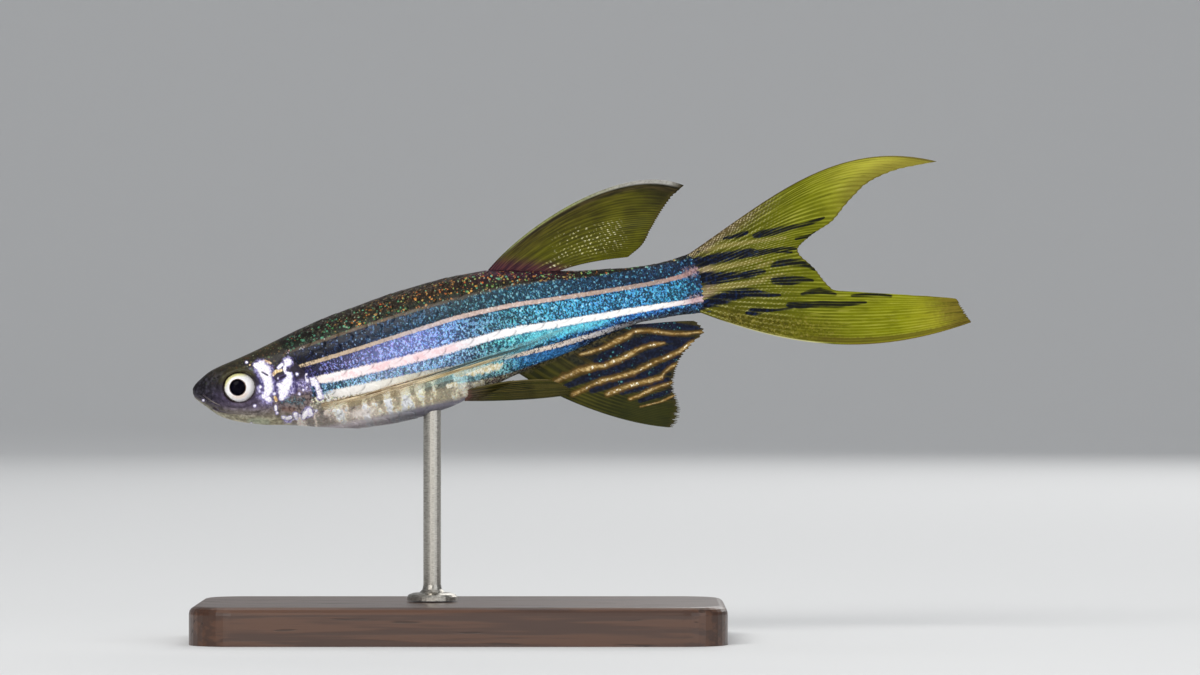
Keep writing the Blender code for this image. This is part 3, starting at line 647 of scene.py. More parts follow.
    # In the dark bands of the back the flakes are few and far apart.
    back_band = m.step(band, 0.66, 0.72)
    front = m.step(s, 0.42, 0.24)
    rare = m.math("MAXIMUM", m.times(back_band, 0.8), m.times(front, m.step(band, 0.46, 0.52)))
    few = m.step(m.add(level, bias), 0.62, 0.80)
    mirrors = m.mix(m.times(rare, 0.75), mirrors, few)
    bars = m.noise(1.15, 2.0, m.stretched(1.25, 0.15, 0.25))
    bars = m.step(m.add(bars, m.times(m.add(grain, -0.5), 0.30)), 0.43, 0.59)
    low_band = m.step(m.add(band, m.times(wobble, 0.02)), 0.30, 0.20)
    low_band = m.times(low_band, m.step(s, 0.60, 0.50))
    mirrors = m.mix(low_band, mirrors, m.add(m.times(bars, 0.78), m.times(mirrors, 0.22)))
    calm = m.math("MAXIMUM", m.times(keel, 0.8), m.times(ridge, 0.5))
    mirrors = m.add(m.times(mirrors, m.math("SUBTRACT", 1.0, m.times(calm, 0.8))), m.times(calm, 0.36))
    peak = m.times(m.math("POWER", mirrors, 1.5), m.mix(back_band, 2.75, 2.30))
    strength = m.add(peak, m.mix(back_band, 0.20, 0.34))
    soft = m.ramp(s, [(0.28, 0.05), (0.36, 0.45), (0.45, 0.38), (0.56, 0.08)])
    strength = m.mix(m.times(soft, m.math("SUBTRACT", 1.0, back_band)), strength, 1.26)
    belly_strength = m.add(m.times(m.math("POWER", mirrors, 1.5), 2.05), 0.38)
    belly_strength = m.add(belly_strength, m.times(m.step(up, -3.25, -3.70), 0.22))
    strength = m.mix(low_band, strength, belly_strength)
    # The flake strengths, partly painted glitter highlight, brighten and darken the middle colour.
    colour = m.vector("MULTIPLY", middle, strength)
    # Each flake has its own tint.
    tinted = m.vector("MULTIPLY", colour, m.vector("ADD", m.vector("MULTIPLY", cell_b, (0.56, 0.40, 0.44)), (0.72, 0.80, 0.78)))
    colour = m.mix(m.math("SUBTRACT", 1.0, m.times(low_band, 0.7)), colour, tinted)
    colour = m.vector("MINIMUM", colour, (0.93, 0.95, 0.98))
    quiet = m.times(m.ramp(s, [(0.51, 0.0), (0.55, 1.0), (0.60, 0.8), (0.68, 0.1)]), m.math("SUBTRACT", 1.0, m.math("MAXIMUM", low_band, back_band)))
    colour = m.mix(quiet, colour, m.vector("MULTIPLY", colour, (0.90, 0.80, 0.74)))
    dim_keel = m.mix(m.step(s, 0.30, 0.42), rgb(122, 119, 138), rgb(78, 80, 104))
    under = m.step(m.add(up, m.times(wobble, 0.10)), -4.45, -4.70)
    colour = m.mix(m.times(keel, m.step(s, 0.30, 0.42, 0.72, 0.88)), colour, m.mix(under, m.mix(m.step(s, 0.30, 0.42), rgb(192, 186, 198), rgb(122, 122, 143)), dim_keel))
    # A soft white painted highlight lies low on the front of the belly.
    gleam = m.times(m.step(m.math("ABSOLUTE", m.add(s, -0.315)), 0.035, 0.004), m.step(m.math("ABSOLUTE", m.add(up, m.add(3.85, m.times(wobble, 0.15)))), 0.42, 0.04))
    colour = m.mix(m.times(gleam, 0.9), colour, rgb(255, 246, 240))
    # Under the silver stripe the stalk has a painted cyan sheen, and lower down it is a clear blue.
    painted_cyan_sheen = m.times(m.ramp(s, [(0.62, 0.0), (0.68, 0.55), (0.77, 0.80), (0.83, 0.0)]), m.step(m.math("ABSOLUTE", m.add(up, 1.16)), 0.46, 0.12))
    colour = m.mix(m.times(painted_cyan_sheen, m.step(level, 0.15, 0.55, 0.45, 1.0)), colour, rgb(118, 226, 246))
    blue = m.times(m.ramp(s, [(0.62, 0.0), (0.66, 0.6), (0.71, 0.6), (0.76, 0.0)]), m.times(m.step(up, -2.15, -2.35), m.step(up, -3.0, -2.75)))
    colour = m.mix(m.times(blue, m.step(level, 0.2, 0.6, 0.4, 1.0)), colour, rgb(70, 140, 204))
    # Single flakes that catch the light: white-blue on the flank, green and orange on the back.
    catch = m.step(m.add(m.add(spark_a, m.times(dist_a, -0.30)), m.add(m.times(back_band, 0.05), m.times(m.step(s, 0.46, 0.62), 0.08))), 0.85, 0.95)
    glint = m.mix(m.step(band, 0.66, 0.72), m.ramp(s, [(0.24, rgb(206, 200, 244)), (0.48, rgb(206, 220, 250)), (0.58, rgb(186, 240, 244)), (0.80, rgb(178, 236, 250)), (0.98, rgb(110, 214, 230))]), m.ramp(s, [(0.24, rgb(130, 150, 190)), (0.50, rgb(150, 200, 206)), (0.95, rgb(96, 170, 200))]))
    back_glint = m.ramp(pick, [(0.0, rgb(214, 96, 44)), (0.22, rgb(196, 130, 60)), (0.40, rgb(190, 180, 110)), (0.60, rgb(120, 190, 96)), (0.80, rgb(96, 170, 120)), (1.0, rgb(200, 210, 190))])
    glint = m.mix(m.step(band, 0.80, 0.86), glint, back_glint)
    glint = m.mix(low_band, glint, rgb(255, 246, 220))
    rows = m.step(m.add(m.part_of(cell_c, 1), m.times(dist_c, m.add(-1.05, m.times(m.part_of(cell_c, 2), 0.55)))), 0.46, 0.62)
    rows = m.times(rows, m.times(m.step(band, 0.79, 0.85), m.step(rise, 0.985, 0.93)))
    rows = m.times(rows, m.step(m.noise(1.7, 2.0), 0.36, 0.60, 0.30, 1.15))
    rows = m.times(rows, m.ramp(s, [(0.20, 0.35), (0.30, 0.8), (0.56, 1.0), (0.64, 0.8), (0.74, 0.3), (0.90, 0.2)]))
    warm = m.ramp(s, [(0.24, 0.0), (0.34, 0.35), (0.50, 1.0), (0.62, 0.7), (0.80, 0.2)])
    lamp = m.mix(m.step(m.add(m.part_of(cell_c, 0), m.add(warm, -0.5)), 0.45, 0.60), m.mix(m.part_of(cell_c, 2), rgb(70, 150, 70), rgb(110, 190, 160)), m.mix(m.part_of(cell_c, 2), rgb(206, 84, 30), rgb(224, 176, 90)))
    colour = m.mix(m.math("MINIMUM", m.times(rows, 0.80), 0.9), colour, lamp)
    colour = m.mix(m.times(catch, m.math("SUBTRACT", m.ramp(band, [(0.0, 0.35), (0.3, 0.5), (0.5, 0.75), (0.66, 0.8), (0.8, 0.85), (0.93, 0.7), (1.0, 0.25)]), m.times(keel, 0.3))), colour, glint)

    # Cream scales lie in a broken row under the rear of the breast fin, with a painted highlight on them.
    cream = m.step(m.add(m.attr("cream"), m.times(m.add(m.add(grain, m.times(blinds, 0.8)), -0.9), 2.2)), 1.75, 0.85)
    colour = m.mix(m.times(cream, 0.95), colour, m.mix(m.step(m.add(spark_a, m.times(m.add(blinds, -0.5), 2.0)), 0.1, 0.7), rgb(222, 206, 160), rgb(255, 251, 232)))

    # The pale stripes.
    pales = [
        ("pale_1", [(0.20, rgb(100, 84, 58)), (0.34, rgb(124, 106, 78)), (0.46, rgb(112, 100, 76)), (0.62, rgb(92, 88, 66))], [(0.19, 0.22), (0.25, 0.55), (0.45, 0.62), (0.54, 0.36), (0.62, 0.34), (0.74, 0.0)], 0.9, 1.1),
        ("pale_4", [(0.24, rgb(248, 244, 242)), (0.34, rgb(255, 252, 246)), (0.43, rgb(226, 220, 200)), (0.60, rgb(218, 204, 184)), (0.70, rgb(244, 226, 210)), (0.80, rgb(204, 202, 202)), (0.90, rgb(104, 104, 96))], [(0.245, 0.0), (0.275, 1.0), (0.40, 1.0), (0.47, 0.7), (0.56, 0.55), (0.64, 1.0), (0.78, 1.0), (0.86, 0.5), (0.92, 0.15), (0.98, 0.0)], 0.97, 1.0),
        ("pale_2", [(0.19, rgb(232, 208, 168)), (0.26, rgb(204, 180, 148)), (0.37, rgb(200, 180, 162)), (0.46, rgb(210, 196, 196)), (0.54, rgb(212, 188, 178)), (0.66, rgb(218, 194, 184)), (0.80, rgb(192, 166, 150)), (0.92, rgb(170, 150, 140)), (1.0, rgb(196, 150, 144))], [(0.185, 0.0), (0.21, 1.0), (0.97, 1.0), (1.0, 0.4)], 0.93, 1.1),
        ("pale_3", [(0.22, rgb(240, 226, 214)), (0.28, rgb(255, 248, 248)), (0.36, rgb(252, 232, 234)), (0.46, rgb(250, 230, 236)), (0.54, rgb(244, 240, 244)), (0.62, rgb(255, 255, 255)), (0.92, rgb(255, 255, 252)), (0.965, rgb(240, 228, 226)), (0.985, rgb(206, 178, 184))], [(0.215, 0.0), (0.245, 1.0), (1.0, 1.0)], 1.0, 0.75),
    ]
    pale_total = None
    for name, colours, strengths, most, rim in pales:
        r = m.attr(name)
        away = m.math("ABSOLUTE", m.add(r, m.times(wobble, 0.55)))
        away = m.add(away, m.times(m.add(fine, -0.5), 1.0))
        show = m.times(m.ramp(s, strengths), most)
        # The flank is darkest right beside a stripe.
        beside = m.times(m.step(away, 1.0 + rim, 1.15), m.times(show, 0.62))
        if name == "pale_4":
            beside = m.times(beside, m.step(s, 0.34, 0.50))
        colour = m.mix(beside, colour, m.vector("MULTIPLY", colour, (0.26, 0.34, 0.52)))
        inside = m.times(m.step(away, 1.32, 0.74), show)
        tint = m.ramp(s, colours)
        if name == "pale_3":
            pinks = m.times(m.step(m.add(cloud, m.times(m.add(grain, -0.5), 0.8)), 0.42, 0.62), m.ramp(s, [(0.26, 0.3), (0.34, 0.9), (0.50, 0.6), (0.60, 0.1)]))
            tint = m.mix(m.times(pinks, m.step(away, 0.95, 0.45)), tint, rgb(238, 198, 202))
        else:
            worn = m.step(s, 0.36, 0.50, 0.12, 0.50) if name == "pale_4" else 0.50
            tint = m.mix(m.times(m.step(m.add(grain, m.times(m.add(level, -0.5), 0.3)), 0.62, 0.36), worn), tint, m.mix(0.6, tint, rgb(138, 108, 94)))
            tint = m.mix(m.times(catch, 0.6), tint, rgb(244, 236, 226))
        if name == "pale_2":
            beads = m.step(m.add(grain, m.times(m.add(spark_a, -0.5), 0.45)), 0.36, 0.52)
            inside = m.times(inside, m.mix(m.step(s, 0.22, 0.29), m.add(m.times(beads, 0.7), 0.3), 1.0))
        if name == "pale_4":
            broken = m.step(m.add(level, m.times(m.add(cloud, -0.5), 0.6)), 0.18, 0.42)
            inside = m.times(inside, m.mix(m.step(s, 0.42, 0.52), 1.0, broken))
        colour = m.mix(inside, colour, tint)
        pale_total = inside if pale_total is None else m.math("MAXIMUM", pale_total, inside)

    # The base of the tail fin is pink between the dark stripes.
    end = m.step(s, 0.968, 0.988)
    pinkish = m.math("MAXIMUM", m.step(m.math("ABSOLUTE", m.add(up, -0.95)), 0.50, 0.20), m.step(m.math("ABSOLUTE", m.add(up, 0.92)), 0.46, 0.18))
    pinkish = m.times(pinkish, m.step(m.add(grain, m.times(m.add(spark_a, -0.5), 0.4)), 0.36, 0.56))
    colour = m.mix(m.times(end, m.times(pinkish, 0.50)), colour, m.mix(m.step(grain, 0.35, 0.62), rgb(150, 112, 122), rgb(206, 168, 162)))

    # The head: dark above, purple round the eye, olive-grey at the jaw and throat, with silver plates.
    head = m.step(m.add(m.attr("head"), m.times(wobble, 0.10)), -0.05, 0.10)
    skull = m.ramp(
        m.add(rise, m.times(wobble, 0.05)),
        [(0.0, rgb(176, 168, 140)), (0.07, rgb(160, 154, 128)), (0.15, rgb(124, 116, 106)), (0.26, rgb(88, 78, 94)), (0.40, rgb(66, 56, 80)), (0.58, rgb(44, 37, 52)), (0.78, rgb(36, 33, 32)), (1.0, rgb(46, 42, 26))],
    )
    snout = m.step(s, 0.075, 0.020)
    skull = m.mix(m.times(snout, m.step(rise, 0.10, 0.40, 0.30, 0.9)), skull, m.mix(m.step(grain, 0.40, 0.62), rgb(12, 10, 15), rgb(44, 42, 50)))
    blots = m.noise(2.6, 3.0)
    skull = m.mix(m.times(m.step(blots, 0.50, 0.62), 0.60), skull, m.vector("MULTIPLY", skull, (2.0, 2.05, 2.2)))
    skull = m.mix(m.times(m.step(blots, 0.44, 0.34), 0.55), skull, m.vector("MULTIPLY", skull, (0.40, 0.38, 0.48)))
    rear = m.step(s, 0.115, 0.19)
    cheek = m.times(rear, m.times(m.step(rise, 0.46, 0.34), m.step(rise, 0.10, 0.20)))
    skull = m.mix(m.times(cheek, 0.75), skull, m.mix(m.step(grain, 0.36, 0.60), rgb(74, 60, 56), rgb(140, 124, 116)))
    throat = m.step(m.add(m.attr("throat"), m.times(wobble, 0.5)), 1.5, 0.2)
    skull = m.mix(m.times(throat, 0.7), skull, rgb(186, 194, 168))
    rust = m.step(m.add(m.attr("rust"), m.times(ragged, 0.5)), 1.4, 0.4)
    skull = m.mix(m.times(rust, 0.30), skull, rgb(128, 74, 58))
    brow = m.times(m.step(m.attr("orbit"), 1.60, 1.25), m.step(m.attr("brow"), 0.35, 0.80))
    skull = m.mix(m.times(brow, 0.7), skull, rgb(62, 57, 26))
    nape = m.times(m.step(s, 0.07, 0.14), m.step(rise, 0.70, 0.82))
    dots = m.step(m.add(m.part_of(cell_c, 1), m.times(dist_c, m.add(-1.05, m.times(m.part_of(cell_c, 2), 0.55)))), 0.42, 0.60)
    dots = m.times(m.times(dots, m.step(rise, 0.62, 0.80)), m.step(s, 0.05, 0.17, 0.12, 0.60))
    skull = m.mix(dots, skull, m.mix(m.part_of(cell_c, 0), rgb(112, 62, 40), rgb(96, 122, 84)))
    specks = m.times(m.step(m.add(spark_a, m.times(dist_a, -0.4)), 0.76, 0.92), m.add(m.times(nape, 0.7), 0.16))
    skull = m.mix(specks, skull, m.mix(m.step(rise, 0.3, 0.75), rgb(170, 165, 190), m.ramp(pick, [(0.0, rgb(150, 70, 50)), (0.35, rgb(130, 120, 60)), (0.7, rgb(110, 130, 70)), (1.0, rgb(170, 180, 150))])))
    skull = m.mix(m.times(m.step(grain, 0.54, 0.36), 0.50), skull, m.mix(0.65, skull, rgb(18, 14, 20)))
    orbit = m.step(m.attr("orbit"), 1.20, 1.04)
    skull = m.mix(m.times(orbit, 0.8), skull, rgb(46, 34, 34))
    teal = m.step(m.add(m.attr("teal"), m.times(ragged, 0.8)), 1.9, 0.3)
    skull = m.mix(m.times(teal, m.step(spark_a, 0.2, 0.7, 0.2, 0.8)), skull, m.mix(m.step(spark_b, 0.35, 0.8), rgb(38, 52, 62), rgb(104, 146, 158)))
    dusk = m.step(m.add(m.attr("dusk"), m.times(ragged, 0.6)), 1.6, 0.4)
    skull = m.mix(m.times(dusk, 0.8), skull, rgb(52, 42, 92))
    lilac = m.step(m.add(m.attr("lilac"), m.times(ragged, 1.0)), 1.9, 0.1)
    skull = m.mix(m.times(lilac, m.step(spark_a, 0.10, 0.80, 0.20, 1.0)), skull, m.mix(m.step(spark_b, 0.3, 0.9), rgb(128, 118, 180), rgb(214, 206, 244)))
    colour = m.mix(head, colour, skull)
    gold = m.step(m.add(m.attr("gold"), m.times(ragged, 0.7)), 1.20, 0.75)
    colour = m.mix(m.times(gold, m.step(spark_b, 0.0, 0.5, 0.72, 1.0)), colour, m.mix(m.step(spark_a, 0.2, 0.8), rgb(206, 168, 112), rgb(248, 226, 176)))
    plate = m.add(m.attr("silver"), m.times(ragged, 0.85))
    fringe = m.times(m.step(plate, 2.2, 1.15), m.step(plate, 2.6, 1.3, 0.2, 0.85))
    colour = m.mix(fringe, colour, m.mix(m.step(m.add(spark_a, m.times(m.add(grain, -0.5), 0.8)), 0.25, 0.9), rgb(84, 74, 132), rgb(184, 178, 232)))
    silver = m.step(plate, 1.45, 0.80)
    shine = m.mix(m.step(m.add(spark_b, m.times(m.add(grain, -0.5), 0.6)), 0.02, 0.42), rgb(214, 204, 238), rgb(255, 252, 252))
    colour = m.mix(silver, colour, shine)
    spot = m.step(m.add(m.attr("spot"), m.times(ragged, 0.5)), 1.15, 0.7)
    colour = m.mix(m.times(spot, 0.95), colour, m.mix(m.step(m.attr("spot"), 0.9, 0.3), rgb(74, 58, 110), rgb(24, 18, 38)))

    bright = m.math("MAXIMUM", m.math("MAXIMUM", silver, pale_total), m.times(gold, 0.8))
    plain = m.math("SUBTRACT", 1.0, m.math("MAXIMUM", bright, head))
    metal = m.times(m.times(mirrors, plain), 0.30)
    m.set(
        Base_Color=colour,
        Metallic=metal,
        Roughness=m.math("SUBTRACT", 0.46, m.times(m.times(mirrors, plain), 0.14)),
        Specular_IOR_Level=0.14,
        Coat_Weight=m.step(rise, 0.95, 0.60, 0.02, 0.10),
        Coat_Roughness=0.12,
    )
    relief = m.bump(m.add(m.times(grain, 0.6), m.times(dist_a, -0.4)), 0.010, 0.6)
    tilt = m.add(0.12, m.times(m.times(mirrors, plain), 0.42))
    m.set(Normal=m.flakes(cell_a, tilt, relief))
    return m.material


BODY_LOOK = body_look()

# ---------------------------------------------------------------- the skin
SKIN_IN = 0.07  # the skin lies this far inside the solids, under the scales
HEAD_IN = 0.03  # and this far on the head, which has none
AROUND = 224

MOUTH = [(0.02, 0.0, -0.02), (0.12, 0.28, -0.06), (0.30, 0.50, -0.20), (0.60, 0.78, -0.48), (0.92, 0.95, -0.78), (1.22, 1.10, -1.04)]


def mouth_line(sign):
    """The cleft from the middle of the snout to a corner, laid on the surface."""
    out = []
    for s, y, t in MOUTH:
        if s > 0.3:
            y = float(half_width(np.array(s), np.array(t)))
        out.append((s, sign * y, t))
    return out


def head_relief(p, sign):
    """How far the skin of one side of the head stands out (+) or sinks in (-), in millimetres."""
    out = np.zeros(p.shape[:-1])
    gap = line_gap(p, mouth_line(sign))
    tip = ease(p[..., 0] / 0.35)
    out += (-0.035 - 0.085 * tip) * np.exp(-((gap / 0.050) ** 2)) + 0.030 * tip * np.exp(-(((gap - 0.15) / 0.08) ** 2))
    edge = line_gap(p, on_side(GILL_EDGE, sign))
    inside = GILL_LINE(p[..., 2]) > p[..., 0]
    out += np.where(inside, 0.035 * np.exp(-((edge / 0.35) ** 2)), -0.02 * np.exp(-((edge / 0.30) ** 2)))
    out += -0.11 * np.exp(-((edge / 0.055) ** 2))
    plate = line_gap(p, on_side([(4.70, 0.92), (5.30, 0.62), (5.56, -0.10), (5.56, -1.00), (5.36, -1.75), (4.75, -2.30), (3.60, -2.42)], sign))
    out += -0.07 * np.exp(-((plate / 0.055) ** 2)) + 0.02 * np.exp(-(((plate - 0.2) / 0.12) ** 2))
    under = line_gap(p, on_side([(5.75, -1.95), (6.50, -2.35), (7.60, -2.30)], sign))
    out += -0.045 * np.exp(-((under / 0.05) ** 2))
    seam = line_gap(p, on_side([(2.2, -1.62), (3.2, -1.92), (4.2, -1.75), (4.75, -1.10), (4.85, -0.30), (4.55, 0.50)], sign))
    out += -0.035 * np.exp(-((seam / 0.06) ** 2))
    jaw = line_gap(p, on_side([(1.55, -1.50), (2.30, -2.05), (3.40, -2.45)], sign))
    out += -0.04 * np.exp(-((jaw / 0.07) ** 2))
    for s, t, r, deep in ((1.70, 0.50, 0.075, 0.09), (1.98, 0.58, 0.09, 0.11)):
        y = sign * float(half_width(np.array(s), np.array(t)))
        near = np.linalg.norm(p - np.array([s, y, t]), axis=-1)
        out += -deep * np.exp(-((near / r) ** 2)) + 0.018 * np.exp(-(((near - 1.9 * r) / (0.7 * r)) ** 2))
    ring = eye_gap(p)
    out += 0.03 * np.exp(-(((ring - 1.30) / 0.12) ** 2)) - 0.02 * np.exp(-(((ring - 1.52) / 0.10) ** 2))
    # Folds of the gill membrane under the throat.
    for k in range(3):
        fold = line_gap(p, on_side([(4.2 + 0.5 * k, -3.10 - 0.05 * k), (5.6 + 0.5 * k, -3.30 - 0.04 * k), (6.9 + 0.25 * k, -3.20 + 0.12 * k)], sign))
        out += -0.02 * np.exp(-((fold / 0.05) ** 2))
    return out


def skin_points(s, angle):
    """The body's outer form, moved along its outward normals by the head's relief, with the eye sockets."""
    p = body_point(s, angle)
    n = grid_normals(p)
    if (n[..., 1] * np.sign(p[..., 1])).sum() < 0:
        n = -n
    # Near the snout's tip the rings are too tight for their own differences.
    inset = HEAD_IN + (SKIN_IN - HEAD_IN) * ease((s - 7.6) / 1.2)
    out = -inset
    head = s < 9.0
    relief = np.zeros(s.shape)
    for sign in (-1, 1):
        mine = head & (p[..., 1] * sign >= -0.02)
        relief[mine] = head_relief(p[mine], sign)
    p = p + n * (out + relief)[..., None]
    gap = eye_gap(p)
    bed = EYE_OUT + iris_dome(gap) - 0.12 - 0.45 * ease((0.92 - gap) / 0.3)
    share = ease((gap - 1.00) / 0.14)
    y = np.abs(p[..., 1])
    y = np.where(gap < 1.16, bed + (y - bed) * share, y)
    p[..., 1] = np.where(gap < 1.16, np.sign(p[..., 1]) * y, p[..., 1])
    return p


def build_skin():
    snout = np.linspace(0.06, math.sqrt(0.5), 12) ** 2
    s = np.concatenate([snout, np.arange(0.54, 8.6, 0.05), np.arange(8.6, 34.0, 0.115), np.arange(34.0, 35.61, 0.08)])
    a = np.linspace(0, 2 * math.pi, AROUND, endpoint=False)
    S, A = np.meshgrid(s, a, indexing="ij")
    # The ring's first and last columns are the same, so the differences are taken on a grid that overlaps.
    wide = np.concatenate([A[:, -2:] - 2 * math.pi, A, A[:, :2] + 2 * math.pi], 1)
    P = skin_points(np.repeat(s[:, None], AROUND + 4, 1), wide)[:, 2:-2]
    rows = len(s)
    tip = np.array([[0.02, 0.0, -0.16]])
    tail = np.array([[35.66, 0.0, 0.14]])
    body = P.reshape(-1, 3)
    points = np.concatenate([body, tip, tail])
    quads = grid_quads(rows, AROUND, wrap=True)
    k = np.arange(AROUND)
    n = (k + 1) % AROUND
    first, last = len(body), len(body) + 1
    end = (rows - 1) * AROUND
    tris = np.concatenate([np.stack([np.full(AROUND, first), n, k], -1), np.stack([np.full(AROUND, last), end + k, end + n], -1)])
    u = np.repeat((0.03 + 0.94 * s / 35.7)[:, None], AROUND, 1)
    # Both sides lie in the map side by side: the left flank below, the right above, cut along the belly.
    turn = np.repeat((a / (2 * math.pi))[None], rows, 0)
    v = 0.01 + 0.98 * turn
    uv = np.concatenate([np.stack([u, v], -1).reshape(-1, 2), [[0.025, 0.5], [0.975, 0.5]]])
    made = mesh_object("skin", place(points), quads, tris, marks(points), BODY_LOOK, uv=uv)
    # The map's seam is the ridge of the back: its last column's faces reach across to v = 1.
    mesh = made.data
    layer = mesh.uv_layers["OFBake"]
    index = np.empty(len(mesh.loops), np.int32)
    mesh.loops.foreach_get("vertex_index", index)
    spots = np.empty(len(mesh.loops) * 2, np.float32)
    layer.data.foreach_get("uv", spots)
    spots = spots.reshape(-1, 2)
    face = np.arange(len(quads) * 4).reshape(-1, 4)
    across_seam = (np.ptp(spots[face][..., 1], axis=1) > 0.5)
    corner = face[across_seam]
    low = spots[corner][..., 1] < 0.5
    fixed = spots[corner]
    fixed[..., 1] = np.where(low, fixed[..., 1] + 0.98, fixed[..., 1])
    spots[corner] = fixed
    layer.data.foreach_set("uv", spots.ravel())
    return made


skin = build_skin()
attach(skin, "root")
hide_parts("head", "lower_jaw", "gill_cover_l", "gill_cover_r", "trunk", "tail")


# ---------------------------------------------------------------- scales
def arc_table():
    """For stations along the body, the angle at each even share of the way round."""
    s = np.linspace(6.0, 35.2, 120)
    a = np.linspace(0, 2 * math.pi, 721)
    p = body_point(np.repeat(s[:, None], len(a), 1), np.repeat(a[None], len(s), 0))
    step = np.linalg.norm(np.diff(p[..., 1:], axis=1), axis=-1)
    total = np.concatenate([np.zeros((len(s), 1)), np.cumsum(step, 1)], 1)
    share = np.linspace(0, 1, 361)
    return s, share, np.array([np.interp(share, row / row[-1], a) for row in total]), total[:, -1]


ARC_S, ARC_SHARE, ARC_ANGLE, ARC_ROUND = arc_table()


def angle_at(s, share):
    share = np.mod(share, 1.0)
    i = np.clip((s - ARC_S[0]) / (ARC_S[1] - ARC_S[0]), 0, len(ARC_S) - 1.001)
    j = share * (len(ARC_SHARE) - 1)
    i0, j0 = i.astype(int), np.minimum(j.astype(int), len(ARC_SHARE) - 2)
    u, v = i - i0, j - j0
    return (
        (1 - u) * (1 - v) * ARC_ANGLE[i0, j0]
        + u * (1 - v) * ARC_ANGLE[i0 + 1, j0]
        + (1 - u) * v * ARC_ANGLE[i0, j0 + 1]
        + u * v * ARC_ANGLE[i0 + 1, j0 + 1]
    )


def surface(s, share):
    """Points and outward normals of the smooth body, by s and by the even share of the way round."""
    e = 0.02
    p = body_point(s, angle_at(s, share))
    ps = body_point(s + e, angle_at(s + e, share)) - body_point(s - e, angle_at(s - e, share))
    pa = body_point(s, angle_at(s, share + 0.002)) - body_point(s, angle_at(s, share - 0.002))
    n = np.cross(ps, pa)
    n /= np.maximum(np.linalg.norm(n, axis=-1, keepdims=True), 1e-12)
    centre = p.copy()
    centre[..., 1] = 0
    centre[..., 2] = 0
    flip = np.sign((n * (p - centre)).sum(-1, keepdims=True))
    return p, n * np.where(flip == 0, 1, flip)


SCALES_ROUND = 24  # scales in one ring, both sides together
SCALE_GRID = 8


def build_scales(name, right, seed):
    rng = np.random.default_rng(seed)
    g = SCALE_GRID
    U, W = np.meshgrid(np.linspace(0, 1, g), np.linspace(-1, 1, g), indexing="ij")
    all_points, all_quads, all_uv = [], [], []
    count = 0
    s = 7.3
    column = 0
    while s < 34.2:
        pitch = 0.98 - 0.26 * float(ease(np.array((s - 20) / 14)))
        for k in range(SCALES_ROUND):
            middle = (k + (0.5 if column % 2 else 0.0)) / SCALES_ROUND
            on_right = 0 < middle < 0.5
            if middle == 0.0 or middle == 0.5:
                on_right = right if (column // 2) % 2 else not right
                if not on_right == right:
                    continue
            if on_right != right:
                continue
            s0 = s + rng.uniform(-0.03, 0.03)
            length = 1.42 * pitch * rng.uniform(0.96, 1.04)
            rear = 0.40 + 0.60 * np.sqrt(np.clip(1 - (0.97 * W) ** 2, 0, 1))
            along = -0.20 * length + U * length * (0.20 + rear)
            wide = 0.66 * (0.72 + 0.28 * np.sin(math.pi * np.clip(0.15 + U * 0.85, 0, 1)))
            P_s = s0 + along
            share = middle + W * wide / SCALES_ROUND
            p, n = surface(P_s, share)
            # Scales behind the gill cover tuck under it.
            lift = -SKIN_IN - 0.004 + 0.040 * np.clip((along + 0.20 * length) / (1.2 * length), 0, 1)
            lift = lift - 0.012 * W**2
            side = np.abs(p[..., 1])
            ahead = ease((GILL_LINE(p[..., 2]) + 0.12 - P_s) / 0.25)
            lift = lift - 0.10 * ahead
            near_root = ease((34.9 - P_s) / 0.5)
            lift = lift - 0.05 * (1 - near_root)
            outer = p + n * lift[..., None]
            inner = p + n * (lift - 0.018)[..., None]
            if ahead.mean() > 0.75:
                continue
            start = count * 2 * g * g
            all_points += [outer.reshape(-1, 3), inner.reshape(-1, 3)]
            top = grid_quads(g, g, start)
            under = grid_quads(g, g, start + g * g, flip=True)
            rim = [j for j in range(g)] + [i * g + g - 1 for i in range(1, g)]
            rim += [(g - 1) * g + j for j in reversed(range(g - 1))] + [i * g for i in reversed(range(1, g - 1))]
            rim = np.array(rim)
            nxt = np.roll(rim, -1)
            wall = np.stack([rim + start, rim + start + g * g, nxt + start + g * g, nxt + start], -1)
            all_quads += [top, under, wall]
            # Each scale's patch lies in its own cell of the skin's unwrap.
            cu = (s + 0.30 * pitch - 6.9) / 28.6
            half = middle * 2 if not right else middle * 2
            cv = (middle * 2) % 1.0
            pu = cu + (U - 0.5) * 0.90 * pitch / 28.6
            pv = cv + W * 0.44 * 2 / SCALES_ROUND
            pv = 0.02 + 0.96 * np.clip(pv * 0.92 + 0.04, 0, 1)
            patch = np.stack([pu, pv], -1).reshape(-1, 2)
            all_uv += [patch, patch]
            count += 1
        s += pitch
        column += 1
    points = np.concatenate(all_points)
    made = mesh_object(name, place(points), np.concatenate(all_quads), (), marks(points), BODY_LOOK, uv=np.concatenate(all_uv))
    print(name, count, "scales,", 2 * len(made.data.polygons), "triangles")
    return made


for name, right, seed in (("scales_l", False, 11), ("scales_r", True, 12)):
    coat = build_scales(name, right, seed)
    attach(coat, "root")


# ---------------------------------------------------------------- eyes
def lathe(profile, around):
    """Rings of points round the y axis from (radius, out) pairs, with the first pair on the axis."""
    a = np.linspace(0, 2 * math.pi, around, endpoint=False)
    points = [np.array([[0.0, profile[0][1], 0.0]])]
    for r, out in profile[1:]:
        points.append(np.stack([r * np.cos(a), np.full(around, out), r * np.sin(a)], -1))
    points = np.concatenate(points)
    k = np.arange(around)
    n = (k + 1) % around
    tris = np.stack([np.zeros(around, int), 1 + k, 1 + n], -1)
    quads = grid_quads(len(profile) - 1, around, 1, wrap=True)
    return points, quads, tris


